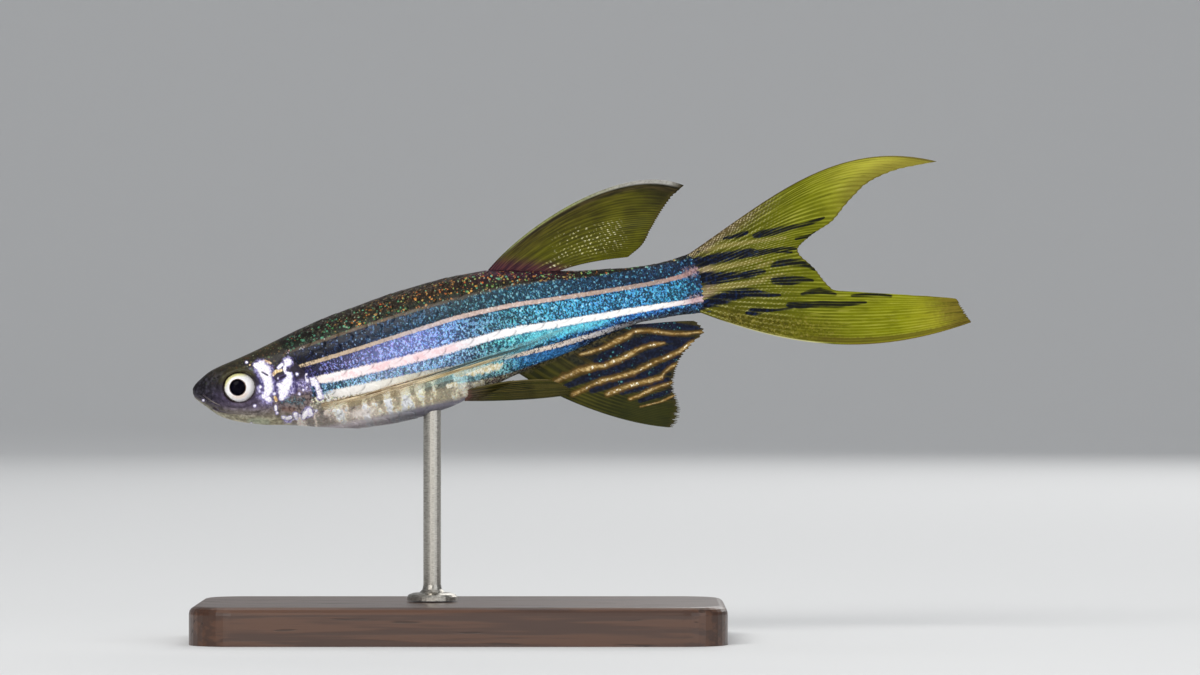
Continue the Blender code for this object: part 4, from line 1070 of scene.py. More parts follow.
def eye_look():
    m = Look("danio_iris")
    r = m.attr("ring")
    high = m.attr("high")
    ahead = m.attr("ahead")
    fibres = m.noise(7.0, 3.0)
    dist, cell = m.cells(15.0)
    fleck = m.part_of(cell, 0)
    uneven = m.times(m.add(fibres, -0.5), 0.10)
    iris = m.mix(m.step(fleck, 0.0, 0.55), rgb(246, 241, 250), rgb(255, 255, 253))
    iris = m.mix(m.times(m.step(fibres, 0.42, 0.28), 0.25), iris, rgb(226, 212, 216))
    # Above and ahead of the pupil the ring is a yellow green-gold, under it a faint orange.
    yellow = m.times(m.step(m.add(high, m.times(ahead, 0.35)), 0.25, 0.85), m.step(r, 0.60, 0.90))
    iris = m.mix(m.times(yellow, 0.80), iris, rgb(232, 226, 130))
    low = m.times(m.step(high, -0.25, -0.65), m.step(m.add(r, uneven), 0.86, 0.66))
    iris = m.mix(m.times(low, 0.40), iris, rgb(232, 184, 140))
    # A thin brown ring lies round the pupil, and the rim is dark, widest ahead.
    iris = m.mix(m.step(m.add(r, uneven), PUPIL + 0.075, PUPIL + 0.03), iris, rgb(104, 62, 30))
    iris = m.mix(m.step(r, PUPIL + 0.035, PUPIL + 0.01), iris, rgb(20, 12, 20))
    notch = m.times(m.step(high, 0.0, -0.5), m.step(ahead, 0.15, 0.65))
    rim = m.step(m.add(m.add(r, m.times(uneven, 1.4)), m.add(m.times(m.step(ahead, 0.55, 1.0), 0.07), m.times(notch, 0.07))), 0.985, 1.04)
    iris = m.mix(m.times(rim, 0.95), iris, rgb(58, 42, 36))
    m.set(Base_Color=iris, Metallic=0.0, Roughness=0.30, Specular_IOR_Level=0.5, Coat_Weight=0.4, Coat_Roughness=0.06)
    m.set(Normal=m.flakes(cell, 0.14, m.bump(fibres, 0.015, 0.5)))
    return m.material


def plain_look(name, colour, roughness, coat=0.0, specular=0.5):
    m = Look(name)
    grain = m.noise(4.0, 2.0)
    m.set(
        Base_Color=m.mix(m.step(grain, 0.3, 0.7), tuple(0.75 * c for c in colour), colour),
        Roughness=roughness,
        Coat_Weight=coat,
        Coat_Roughness=0.05,
        Specular_IOR_Level=specular,
    )
    return m.material


def cornea_look():
    m = Look("danio_cornea")
    m.set(
        Base_Color=(0.004, 0.004, 0.006),
        Roughness=0.03,
        Alpha=m.ramp(m.attr("ring"), [(0.0, 0.03), (0.85, 0.02), (1.0, 0.05)]),
        Specular_IOR_Level=0.5,
    )
    return m.material


IRIS_LOOK, CORNEA_LOOK = eye_look(), cornea_look()
PUPIL_LOOK = plain_look("danio_pupil", rgb(5, 3, 16), 0.20, 0.0, 0.03)


def build_eye(side, sign):
    centre = np.array([EYE_AT[0], sign * EYE_OUT, EYE_AT[1]])

    def ball(r):
        return EYE_DEPTH * math.sqrt(max(1 - (r / EYE_RADIUS) ** 2, 0))

    # The iris is a shallow dome under the cornea, open at the pupil, and its back closes the eyeball.
    profile = [(0, 0.10), (PUPIL * 0.97, 0.10), (PUPIL, 0.33), (PUPIL + 0.02, 0.395)]
    for k in range(1, 15):
        r = PUPIL + 0.02 + (1.0 - PUPIL - 0.02) * k / 14
        profile.append((r, float(iris_dome(np.array(r)))))
    profile += [(1.035, 0.09), (1.055, 0.03), (1.06, -0.04), (1.0, -0.2), (0.8, -0.40), (0.45, -0.53), (0.05, -0.56)]
    pts, quads, tris = lathe(profile, 96)
    end = len(pts) - 96
    k = np.arange(96)
    pts = np.concatenate([pts, [[0, -0.56, 0]]])
    tris = np.concatenate([tris, np.stack([np.full(96, len(pts) - 1), end + (k + 1) % 96, end + k], -1)])

    def lay(points):
        points = points * np.array([EYE_WIDE, sign, EYE_TALL])
        return points + centre

    r = np.hypot(pts[:, 0], pts[:, 2])
    # Round the pupil the rings shift ahead, and less and less towards the rim.
    shift = np.clip((1.0 - r) / (1.0 - PUPIL), 0, 1) * (pts[:, 1] > 0)
    numbers = {"ring": r, "high": pts[:, 2].copy(), "ahead": -pts[:, 0]}
    pts[:, 2] *= 1 + PUPIL_TALL * shift
    pts[:, 0] -= PUPIL_AHEAD * shift
    pts[:, 2] += PUPIL_UP * shift
    flip = sign > 0
    q = quads[:, ::-1] if flip else quads
    t = tris[:, ::-1] if flip else tris
    iris = mesh_object(f"eye_{side}_iris", place(lay(pts)), q, t, numbers, IRIS_LOOK)
    # The lens bulges a little through the pupil.
    lens = [(0, 0.37)] + [((PUPIL + 0.045) * math.sin(v), 0.07 + 0.30 * math.cos(v)) for v in np.linspace(0.12, math.pi - 0.12, 20)]
    pts, quads, tris = lathe(lens, 56)
    end = len(pts) - 56
    k = np.arange(56)
    pts = np.concatenate([pts, [[0, -0.26, 0]]])
    tris = np.concatenate([tris, np.stack([np.full(56, len(pts) - 1), end + (k + 1) % 56, end + k], -1)])
    pts[:, 2] *= 1 + PUPIL_TALL
    pts[:, 0] -= PUPIL_AHEAD
    pts[:, 2] += PUPIL_UP
    q = quads[:, ::-1] if flip else quads
    t = tris[:, ::-1] if flip else tris
    lens = mesh_object(f"eye_{side}_lens", place(lay(pts)), q, t, {}, PUPIL_LOOK)
    # The cornea is a clear shell over the front.
    outer = [(0, ball(0) - 0.02)] + [(rr, ball(rr) - 0.02) for rr in np.linspace(0.06, 1.06, 18)]
    inner = [(rr, ball(rr) - 0.07) for rr in np.linspace(1.06, 0.06, 18)]
    pts, quads, tris = lathe(outer + inner, 72)
    end = len(pts) - 72
    k = np.arange(72)
    pts = np.concatenate([pts, [[0, ball(0) - 0.07, 0]]])
    tris = np.concatenate([tris, np.stack([np.full(72, len(pts) - 1), end + (k + 1) % 72, end + k], -1)])
    q = quads[:, ::-1] if flip else quads
    t = tris[:, ::-1] if flip else tris
    cornea = mesh_object(f"eye_{side}_cornea", place(lay(pts)), q, t, {"ring": np.hypot(pts[:, 0], pts[:, 2])}, CORNEA_LOOK)
    for piece in (iris, lens, cornea):
        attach(piece, "root")
    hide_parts(f"eye_{side}")

for side, sign in (("l", -1), ("r", 1)):
    build_eye(side, sign)


# ---------------------------------------------------------------- fins
def over_back(s):
    return float(section(np.array(s))[0])


def under_belly(s):
    return float(section(np.array(s))[1])


IN = 0.35  # the fins' roots start this far inside the body
DORSAL = [
    (0.00, [(21.0, over_back(21.0) - IN), (23.5, 5.9), (31.5, 9.5), (35.5, 6.80)]),
    (0.15, [(21.6, over_back(21.6) - IN), (24.3, 5.5), (30.3, 7.95), (34.4, 6.05)]),
    (0.35, [(22.5, over_back(22.5) - IN), (25.0, 5.0), (29.0, 6.4), (33.5, 5.20)]),
    (0.60, [(23.6, over_back(23.6) - IN), (26.0, 4.3), (29.2, 4.9), (32.7, 4.30)]),
    (0.80, [(24.5, over_back(24.5) - IN), (26.6, 3.7), (29.2, 3.9), (31.9, 3.40)]),
    (1.00, [(25.4, over_back(25.4) - IN), (27.0, 3.1), (29.0, 3.0), (30.8, 2.80)]),
]
ANAL = [
    (0.00, [(21.7, under_belly(21.7) + IN), (23.8, -5.4), (28.0, -8.3), (31.6, -9.2)]),
    (0.25, [(23.6, under_belly(23.6) + IN), (25.4, -4.8), (29.0, -7.2), (32.2, -8.0)]),
    (0.50, [(25.6, under_belly(25.6) + IN), (27.2, -4.2), (30.0, -5.9), (32.1, -6.5)]),
    (0.75, [(27.5, under_belly(27.5) + IN), (28.9, -3.4), (31.0, -4.6), (32.8, -4.8)]),
    (0.88, [(28.5, under_belly(28.5) + IN), (30.1, -2.75), (32.2, -3.5), (34.0, -3.8)]),
    (0.94, [(29.0, under_belly(29.0) + IN), (30.8, -2.35), (32.8, -2.85), (34.9, -3.12)]),
    (1.00, [(29.6, under_belly(29.6) + IN), (31.0, -1.98), (32.9, -1.98), (34.45, -2.40)]),
]
ROOT = 34.75
CAUDAL = [
    (0.00, [(ROOT, 2.12), (41.6, 5.0), (46.5, 7.8), (52.7, 4.88)]),
    (0.06, [(ROOT, 1.90), (41.2, 4.3), (45.8, 6.9), (50.5, 4.90)]),
    (0.13, [(ROOT, 1.65), (40.6, 3.5), (44.8, 5.8), (48.3, 4.57)]),
    (0.20, [(ROOT, 1.38), (39.8, 2.7), (43.6, 4.3), (46.6, 3.68)]),
    (0.28, [(ROOT, 1.05), (39.0, 1.9), (42.0, 2.9), (44.9, 2.35)]),
    (0.37, [(ROOT, 0.70), (38.2, 1.2), (40.8, 1.9), (43.2, 1.65)]),
    (0.46, [(ROOT, 0.33), (37.5, 0.5), (40.0, 1.0), (42.2, 0.85)]),
    (0.55, [(ROOT, -0.05), (37.5, -0.1), (40.4, -0.1), (43.1, -0.60)]),
    (0.64, [(ROOT, -0.43), (38.0, -0.8), (41.2, -1.3), (43.95, -2.15)]),
    (0.70, [(ROOT, -0.68), (40.0, -1.55), (44.6, -2.55), (52.1, -4.55)]),
    (0.80, [(ROOT, -1.10), (40.0, -2.8), (44.8, -4.1), (52.3, -5.00)]),
    (0.90, [(ROOT, -1.50), (39.8, -4.0), (44.8, -5.8), (52.6, -5.80)]),
    (1.00, [(ROOT, -1.84), (39.8, -5.1), (45.0, -7.4), (52.75, -6.32)]),
]
PECTORAL = [
    (0.00, [(8.20, -2.58), (12.5, -2.60), (20.0, -1.80), (26.1, -0.85)]),
    (0.50, [(8.15, -2.82), (12.5, -3.05), (19.5, -2.35), (25.3, -1.30)]),
    (1.00, [(8.15, -3.06), (12.5, -3.70), (17.5, -2.95), (23.4, -1.85)]),
]
PELVIC = [
    (0.00, [(18.15, -3.78), (20.0, -3.68), (22.2, -3.76), (24.0, -4.25)]),
    (0.50, [(18.05, -4.20), (20.2, -4.42), (22.8, -4.85), (25.3, -5.22)]),
    (1.00, [(17.95, -4.48), (20.2, -4.95), (22.6, -5.40), (25.2, -5.55)]),
]


def fan(rays, f, r):
    """The s and t of a fin's sheet at share f across it and share r out along the ray."""
    shares = [g[0] for g in rays]
    ray = [[Steady(shares, [g[1][k][c] for g in rays])(f) for c in (0, 1)] for k in range(4)]
    b = [(1 - r) ** 3, 3 * r * (1 - r) ** 2, 3 * r * r * (1 - r), r**3]
    return [sum(b[k] * ray[k][c] for k in range(4)) for c in (0, 1)]


def ray_ridges(f, r, count, first, second):
    """1 on the middle of a bony ray and 0 on the film between; each ray forks twice on its way out."""
    x = np.mod(f * count, 1.0) - 0.5
    fork_1 = 0.25 * ease((r - first) / 0.16)
    fork_2 = 0.125 * ease((r - second) / 0.20)
    width = 0.20 - 0.09 * ease((r - first) / 0.2) - 0.045 * ease((r - second) / 0.25)
    best = np.zeros(np.broadcast(f, r).shape)
    for a in (-1, 1):
        for b in (-1, 1):
            away = x - a * fork_1 - b * fork_2
            away = away - np.round(away)
            best = np.maximum(best, np.exp(-((away / width) ** 2)))
    return best


def build_fin(name, rays, columns, rows, side_of, count, look, thin, thick, streaks=(), golds=(), ragged=0.012, seed=3, wave=0.0, forks=(0.30, 0.60), whole=()):
    """A fin of thin film over bony rays. `whole` lists the shares across it where the tips are never worn."""
    rng = np.random.default_rng(seed)
    f = np.linspace(0, 1, columns)[:, None]
    r = (np.linspace(0, 1, rows) ** 0.9)[None]
    F, R = np.broadcast_arrays(f, r)
    F, R = F.copy(), R.copy()
    ridge = ray_ridges(F, R, count, *forks)
    # The film ends a little short of the ray tips, and some tips are worn.
    wear = np.interp(np.linspace(0, 1, columns), np.linspace(0, 1, 4 * count + 1), rng.uniform(0, 1, 4 * count + 1))[:, None]
    keep = np.ones((columns, 1))
    for at, width in whole:
        keep *= 1 - np.exp(-(((np.linspace(0, 1, columns)[:, None] - at) / width) ** 2))
    reach = 1 - keep * (ragged * (1 - ridge[:, -1:]) + 0.8 * ragged * wear**3)
    R = R * reach
    s, t = fan(rays, F, R)
    y = side_of(s, t, F, R)
    if wave:
        y = y + wave * R**1.5 * np.sin(2 * math.pi * (1.3 * F + 0.7 * R) + seed)
    middle = np.stack([s, y, t], -1)
    n = grid_normals(middle)
    rim = np.minimum(np.minimum(F, 1 - F) * 14, (1 - R / reach) * 20).clip(0, 1)
    fade = 1 - 0.55 * R
    half = 0.5 * (thin + (thick - thin) * ridge) * fade * (0.45 + 0.55 * rim)
    stout = 0.5 * thick * 1.2 * fade
    lead = np.exp(-((F / 0.012) ** 2))
    half = half * (1 - lead) + stout * lead
    front, back = middle + n * half[..., None], middle - n * half[..., None]
    size = columns * rows
    points = np.concatenate([front.reshape(-1, 3), back.reshape(-1, 3)])
    quads = [grid_quads(columns, rows), grid_quads(columns, rows, size, flip=True)]
    edge = [j for j in range(rows)] + [i * rows + rows - 1 for i in range(1, columns)]
    edge += [(columns - 1) * rows + j for j in reversed(range(rows - 1))] + [i * rows for i in reversed(range(1, columns - 1))]
    edge = np.array(edge)
    nxt = np.roll(edge, -1)
    quads.append(np.stack([edge, edge + size, nxt + size, nxt], -1))
    quads = np.concatenate(quads)
    a, b = side_view(middle)
    step = np.linalg.norm(np.diff(middle, axis=1, prepend=middle[:, :1]), axis=-1)
    run = np.cumsum(step, 1)
    numbers = {
        "lane": F * count,
        "run": run,
        "across": F,
        "out": R / reach,
        "streak": np.clip(strands(a, b, streaks), 0, 20) if len(streaks) else np.full(F.shape, 20.0),
        "gold": np.clip(strands(a, b, golds), 0, 20) if len(golds) else np.full(F.shape, 20.0),
        "along": a / 35.0,
        "up": b,
    }
    numbers = {k: np.concatenate([v.ravel(), v.ravel()]) for k, v in numbers.items()}
    u = 0.01 + 0.47 * F
    v = 0.01 + 0.98 * (R / reach)
    uv = np.concatenate([np.stack([u, v], -1).reshape(-1, 2), np.stack([u + 0.5, v], -1).reshape(-1, 2)])
    made = mesh_object(name, place(points), quads, (), numbers, look, uv=uv)
    # The rim's faces take the front's places, so none stretches across the map.
    mesh = made.data
    walls = len(edge)
    spots = np.empty(len(mesh.loops) * 2, np.float32)
    layer = mesh.uv_layers["OFBake"]
    layer.data.foreach_get("uv", spots)
    spots = spots.reshape(-1, 2)
    index = np.empty(len(mesh.loops), np.int32)
    mesh.loops.foreach_get("vertex_index", index)
    tail = slice(len(index) - 4 * walls, len(index))
    spots[tail] = uv[np.where(index[tail] >= size, index[tail] - size, index[tail])]
    layer.data.foreach_set("uv", spots.ravel())
    return made


class FinLook(Look):
    """What every fin shares: forked rays drawn from its lanes, joints on them, and noise that runs along them."""

    def __init__(self, name, forks, joint=0.30):
        super().__init__(name)
        self.across, self.out_, self.run, self.lane = (self.attr(k) for k in ("across", "out", "run", "lane"))
        self.grain = self.noise(5.0, 3.0)
        self.cloud = self.noise(0.7, 2.0)
        self.wobble = self.add(self.grain, -0.5)
        waves = [self.math("COSINE", self.add(self.times(self.lane, 2 * math.pi * n), -math.pi)) for n in (1, 2, 4)]
        one = self.step(self.out_, forks[0], forks[0] + 0.16)
        two = self.step(self.out_, forks[1], forks[1] + 0.20)
        wave = self.add(self.times(waves[0], self.math("SUBTRACT", 1.0, one)), self.times(waves[1], one))
        wave = self.add(self.times(wave, self.math("SUBTRACT", 1.0, two)), self.times(waves[2], two))
        self.wave = self.add(self.times(wave, 0.5), 0.5)  # 1 on a ray, 0 between two
        # Noise drawn out along the rays.
        self.silk = self.noise(0.001, 2.0, self.joined(self.times(self.lane, 5.0), self.times(self.run, 0.55)))
        self.lanes = self.noise(0.001, 1.0, self.joined(self.times(self.lane, 1.7), self.times(self.run, 0.12), 3.0))
        self.ray = self.step(self.add(self.wave, self.times(self.add(self.silk, -0.5), 0.8)), 0.45, 0.90)
        self.gap = self.step(self.add(self.wave, self.times(self.add(self.silk, -0.5), 0.8)), 0.34, 0.05)
        # Each ray's joints are out of step with its neighbours'.
        turn = self.math("FLOOR", self.times(self.lane, 4.0))
        beads = self.math("COSINE", self.add(self.times(self.run, 2 * math.pi / joint), self.times(turn, 2.4)))
        self.bead = self.step(self.add(beads, self.times(self.wobble, 1.2)), -0.1, 0.75)
        self.dist, cell = self.cells(7.5)
        self.rand = self.part_of(cell, 0)
        self.rand_2 = self.part_of(cell, 1)

    def lay(self, share, colour):
        """Paints a colour over what is there."""
        self.colour = self.mix(share, self.colour, colour)

    def solid(self, alpha):
        self.alpha = self.math("MAXIMUM", self.alpha, alpha)

    def finish_look(self, rough=0.40, joints=0.5):
        self.set(
            Base_Color=self.colour,
            Alpha=self.math("MINIMUM", self.alpha, 1.0),
            Roughness=rough,
            Specular_IOR_Level=0.08,
            Coat_Weight=0.01,
            Coat_Roughness=0.2,
        )
        height = self.add(self.times(self.wave, 1.0), self.times(self.times(self.bead, self.ray), joints))
        self.set(Normal=self.bump(self.add(height, self.times(self.grain, 0.3)), 0.016, 0.7))
        return self.material


def flat(s, t, f, r):
    return np.zeros(np.shape(s))


CLEAR = CUT + FIN / 2


def pectoral_out(s, t, f, r):
    flank = half_width(s, t)
    for up in (-0.3, 0.4, 0.8, 1.2):
        flank = np.maximum(flank, half_width(s, t + up))
    stand_off = 0.10 + 0.45 * r + 0.30 * f * np.sin(math.pi * np.minimum(r * 1.15, 1.0))
    out = flank + CLEAR + stand_off * np.minimum(1.0, 0.25 + 2.5 * r)
    root = half_width(s, t) - 0.25
    return root + (out - root) * ease(r / 0.10)


def pelvic_out(s, t, f, r):
    out = np.maximum(np.maximum(half_width(s, t), half_width(s, t + 0.35)) + CLEAR + 0.05, 0.78 + 0.25 * r)
    root = half_width(s, t) - 0.2
    return root + (out - root) * ease(r / 0.18)


TAIL_STREAKS = [
    [(724.0, 238.5, 0.8), (737.0, 235.8, 1.3), (747.0, 232.4, 1.1)],
    [(755.2, 235.8, 1.4), (764.2, 233.2, 2.2), (776.2, 231.8, 2.2), (788.3, 228.2, 1.6), (800.3, 225.8, 1.4), (812.3, 222.2, 1.3), (824.4, 217.2, 0.7)],
    [(796.3, 238.6, 0.8), (808.3, 235.8, 0.9), (816.4, 231.8, 0.6)],
    [(676.0, 266.8, 3.4), (692.0, 262.8, 3.2), (700.1, 262.0, 3.0), (710.1, 259.9, 3.0), (720.1, 257.9, 3.0), (730.1, 256.3, 3.0), (740.2, 253.7, 2.6), (750.2, 251.5, 2.0), (760.2, 251.9, 1.4), (770.2, 250.3, 1.2), (784.3, 248.3, 1.2), (795.9, 248.3, 0.9)],
    [(740.0, 257.5, 1.0), (760.0, 254.0, 0.9), (774.0, 251.6, 0.9), (792.0, 251.8, 0.7)],
    [(694.0, 279.0, 4.2), (702.1, 278.3, 4.0), (714.1, 278.3, 3.8), (726.1, 277.3, 3.0), (740.2, 275.3, 2.4), (752.2, 273.3, 2.2), (764.2, 271.3, 1.2)],
    [(772.2, 265.5, 1.0), (780.3, 262.9, 2.2), (790.3, 262.3, 2.4), (800.3, 262.6, 2.0), (808.3, 265.0, 1.3), (815.3, 269.6, 0.7)],
    [(774.2, 280.3, 2.0), (784.3, 280.7, 3.4), (792.3, 280.3, 3.0), (802.3, 279.3, 1.8), (813.3, 280.6, 0.9)],
    [(683.0, 310.0, 3.0), (696.0, 306.8, 2.7), (706.1, 304.0, 2.7), (714.1, 301.4, 3.2), (724.1, 298.0, 3.6), (734.1, 294.4, 3.6), (746.2, 292.2, 2.8), (756.2, 293.2, 2.6), (766.2, 294.8, 1.6), (780.3, 294.9, 0.8)],
    [(802.3, 294.0, 0.9), (812.3, 291.6, 1.6), (820.4, 290.6, 1.8), (828.4, 292.2, 1.5), (836.4, 294.2, 0.8)],
    [(789.3, 304.8, 1.6), (800.3, 305.4, 2.2), (812.3, 304.8, 2.0), (824.4, 304.0, 1.9), (840.4, 304.2, 1.8), (852.4, 303.4, 1.6), (866.5, 302.2, 0.9)],
    [(747.2, 312.8, 1.0), (753.2, 311.6, 2.4), (760.2, 310.6, 2.2), (768.2, 310.4, 1.0), (792.0, 308.0, 0.7)],
    [(852.4, 295.6, 0.8), (866.5, 294.6, 1.1), (878.5, 294.4, 1.1), (892.5, 296.0, 0.8)],
]
TAIL_PALE = [
    [(697.0, 272.6, 2.6), (710.0, 269.0, 3.2), (726.0, 266.4, 3.0), (742.0, 263.6, 2.4), (762.0, 259.6, 1.8)],
    [(699.0, 296.0, 2.6), (711.0, 289.4, 3.4), (726.0, 286.6, 3.2), (744.0, 284.0, 2.8), (764.0, 280.6, 2.0)],
    [(708.0, 249.0, 2.4), (724.0, 245.6, 2.6), (742.0, 243.0, 2.4), (764.0, 240.0, 1.8), (786.0, 237.6, 1.4)],
    [(758.0, 266.6, 1.8), (772.0, 261.4, 1.6)],
    [(764.0, 278.4, 1.8), (784.0, 273.6, 1.4)],
]


def caudal_look():
    m = FinLook("danio_tail_fin", (0.09, 0.33))
    far = m.step(m.run, 3.0, 9.0)
    # The stained film, and the rays: pale and jointed near the root, then fine light lines with dark ones between.
    stain = m.ramp(m.times(m.run, 0.05), [(0.0, rgb(78, 77, 12)), (0.20, rgb(80, 83, 8)), (0.42, rgb(103, 109, 4)), (0.70, rgb(128, 134, 10)), (0.95, rgb(160, 154, 44))])
    m.colour = m.mix(m.step(m.cloud, 0.30, 0.70), m.vector("MULTIPLY", stain, (0.84, 0.80, 0.7)), m.vector("MULTIPLY", stain, (1.12, 1.08, 1.0)))
    m.colour = m.mix(m.times(m.step(m.across, 0.52, 0.30), m.step(m.run, 9.0, 16.0, 0.0, 0.62)), m.colour, rgb(204, 194, 82))
    m.alpha = m.add(0.975, m.times(m.add(m.silk, -0.5), 0.04))
    uneven = m.step(m.noise(0.001, 2.0, m.joined(m.times(m.lane, 2.3), m.times(m.run, 0.20), 7.0)), 0.36, 0.62)
    m.lay(m.times(m.gap, m.mix(uneven, 0.20, 0.50)), m.vector("MULTIPLY", stain, (0.50, 0.48, 0.5)))
    fine_ray = m.step(m.add(m.wave, m.times(m.add(m.silk, -0.5), 0.9)), 0.60, 0.98)
    m.lay(m.times(fine_ray, m.mix(far, 0.50, m.mix(uneven, 0.22, 0.66))), m.mix(far, rgb(138, 136, 58), rgb(162, 164, 56)))
    m.lay(m.times(m.step(m.silk, 0.60, 0.72), 0.40), m.mix(far, rgb(128, 122, 40), rgb(172, 168, 74)))
    m.lay(m.times(m.step(m.silk, 0.40, 0.30), m.times(far, 0.45)), m.vector("MULTIPLY", stain, (0.46, 0.42, 0.4)))
    m.lay(m.times(m.times(m.ray, m.times(m.bead, m.step(m.rand, 0.1, 0.7))), m.times(m.step(m.run, 8.5, 4.0), 0.62)), rgb(190, 184, 122))
    m.solid(m.times(m.ray, 0.96))
    # A pale cream ground lies between the dark streaks near the root.
    pale = m.step(m.add(m.attr("gold"), m.times(m.wobble, 0.7)), 1.35, 0.45)
    m.lay(m.times(pale, m.times(m.step(m.run, 7.0, 3.0, 0.45, 0.72), 1.0)), m.mix(m.times(m.bead, m.times(m.ray, 0.85)), rgb(134, 124, 62), rgb(208, 196, 146)))
    m.solid(m.times(pale, 0.95))
    blush = m.times(m.step(m.add(m.run, m.times(m.wobble, 0.6)), 2.0, 0.7), m.step(m.add(m.attr("gold"), m.times(m.wobble, 1.2)), 2.6, 1.0))
    m.lay(m.times(blush, m.step(m.grain, 0.35, 0.62, 0.15, 0.55)), m.mix(m.step(m.silk, 0.36, 0.60), rgb(128, 96, 96), rgb(204, 176, 160)))
    # The fore part of the lower lobe and the upper edge are grainy brown.
    low = m.times(m.step(m.add(m.across, m.times(m.wobble, 0.08)), 0.80, 0.90), m.times(m.step(m.run, 0.9, 2.0), m.step(m.run, 11.5, 7.0)))
    crumbs = m.step(m.add(m.add(m.rand, m.times(m.bead, 0.25)), m.times(m.dist, -0.3)), 0.20, 0.80)
    m.lay(m.times(low, 0.50), m.mix(crumbs, rgb(60, 48, 6), rgb(106, 98, 20)))
    m.lay(m.times(m.times(low, m.step(m.rand_2, 0.84, 0.95)), 0.40), rgb(158, 146, 70))
    high = m.times(m.step(m.across, 0.17, 0.02), m.step(m.run, 8.5, 3.0))
    m.lay(m.times(high, 0.68), m.mix(m.times(m.bead, m.step(m.rand, 0.2, 0.6)), rgb(92, 72, 54), rgb(196, 178, 152)))
    m.solid(m.times(m.math("MAXIMUM", low, high), 0.94))
    # The lobes' edges: a thin pale line under the fore part of the lower one, then dark, and dark tips.
    under = m.times(m.step(m.across, 0.990, 0.996), m.times(m.step(m.run, 1.4, 2.4), m.step(m.run, 9.5, 8.0)))
    m.lay(m.times(under, 0.85), rgb(206, 204, 150))
    dim = m.times(m.step(m.add(m.across, m.times(m.wobble, 0.02)), 0.945, 0.965), m.times(m.step(m.across, 0.992, 0.985), m.step(m.run, 6.5, 9.5)))
    m.lay(m.times(dim, 0.65), rgb(82, 68, 20))
    m.lay(m.times(m.step(m.across, 0.988, 0.994), m.step(m.run, 9.5, 11.0, 0.0, 0.8)), rgb(104, 88, 30))
    over = m.times(m.step(m.across, 0.014, 0.004), m.step(m.run, 3.0, 6.0))
    m.lay(m.times(over, 0.75), rgb(84, 70, 30))
    ends = m.times(m.step(m.out_, 0.978, 0.992), m.step(m.run, 16.0, 14.0))
    m.lay(m.times(ends, 0.55), rgb(92, 80, 30))
    tip = m.times(m.step(m.add(m.out_, m.add(m.times(m.wobble, 0.07), m.times(m.add(m.silk, -0.5), 0.10))), 0.88, 0.99), m.step(m.across, 0.66, 0.71))
    m.lay(m.times(tip, 0.85), m.mix(m.step(m.silk, 0.4, 0.6), rgb(58, 46, 12), rgb(108, 94, 30)))
    point = m.times(m.step(m.out_, 0.80, 0.97), m.step(m.across, 0.30, 0.12))
    m.lay(m.times(point, 0.6), rgb(92, 80, 30))
    m.solid(m.times(m.math("MAXIMUM", tip, m.math("MAXIMUM", point, over)), 0.96))
    # The dark streaks: navy by the body, brown-black further out, and split by the rays that they lie along.
    dark = m.step(m.add(m.attr("streak"), m.times(m.add(m.silk, -0.5), 1.4)), 2.15, 1.25)
    dark = m.times(dark, m.math("SUBTRACT", 1.0, m.times(m.times(fine_ray, m.step(m.attr("streak"), 0.1, 1.2, 0.22, 1.0)), m.step(m.run, 0.5, 3.5, 0.08, 0.50))))
    ink = m.mix(m.step(m.run, 2.0, 9.5), m.mix(m.step(m.grain, 0.46, 0.70), rgb(3, 6, 20), rgb(16, 34, 70)), rgb(22, 23, 8))
    m.lay(dark, ink)
    m.solid(dark)
    return m.finish_look()


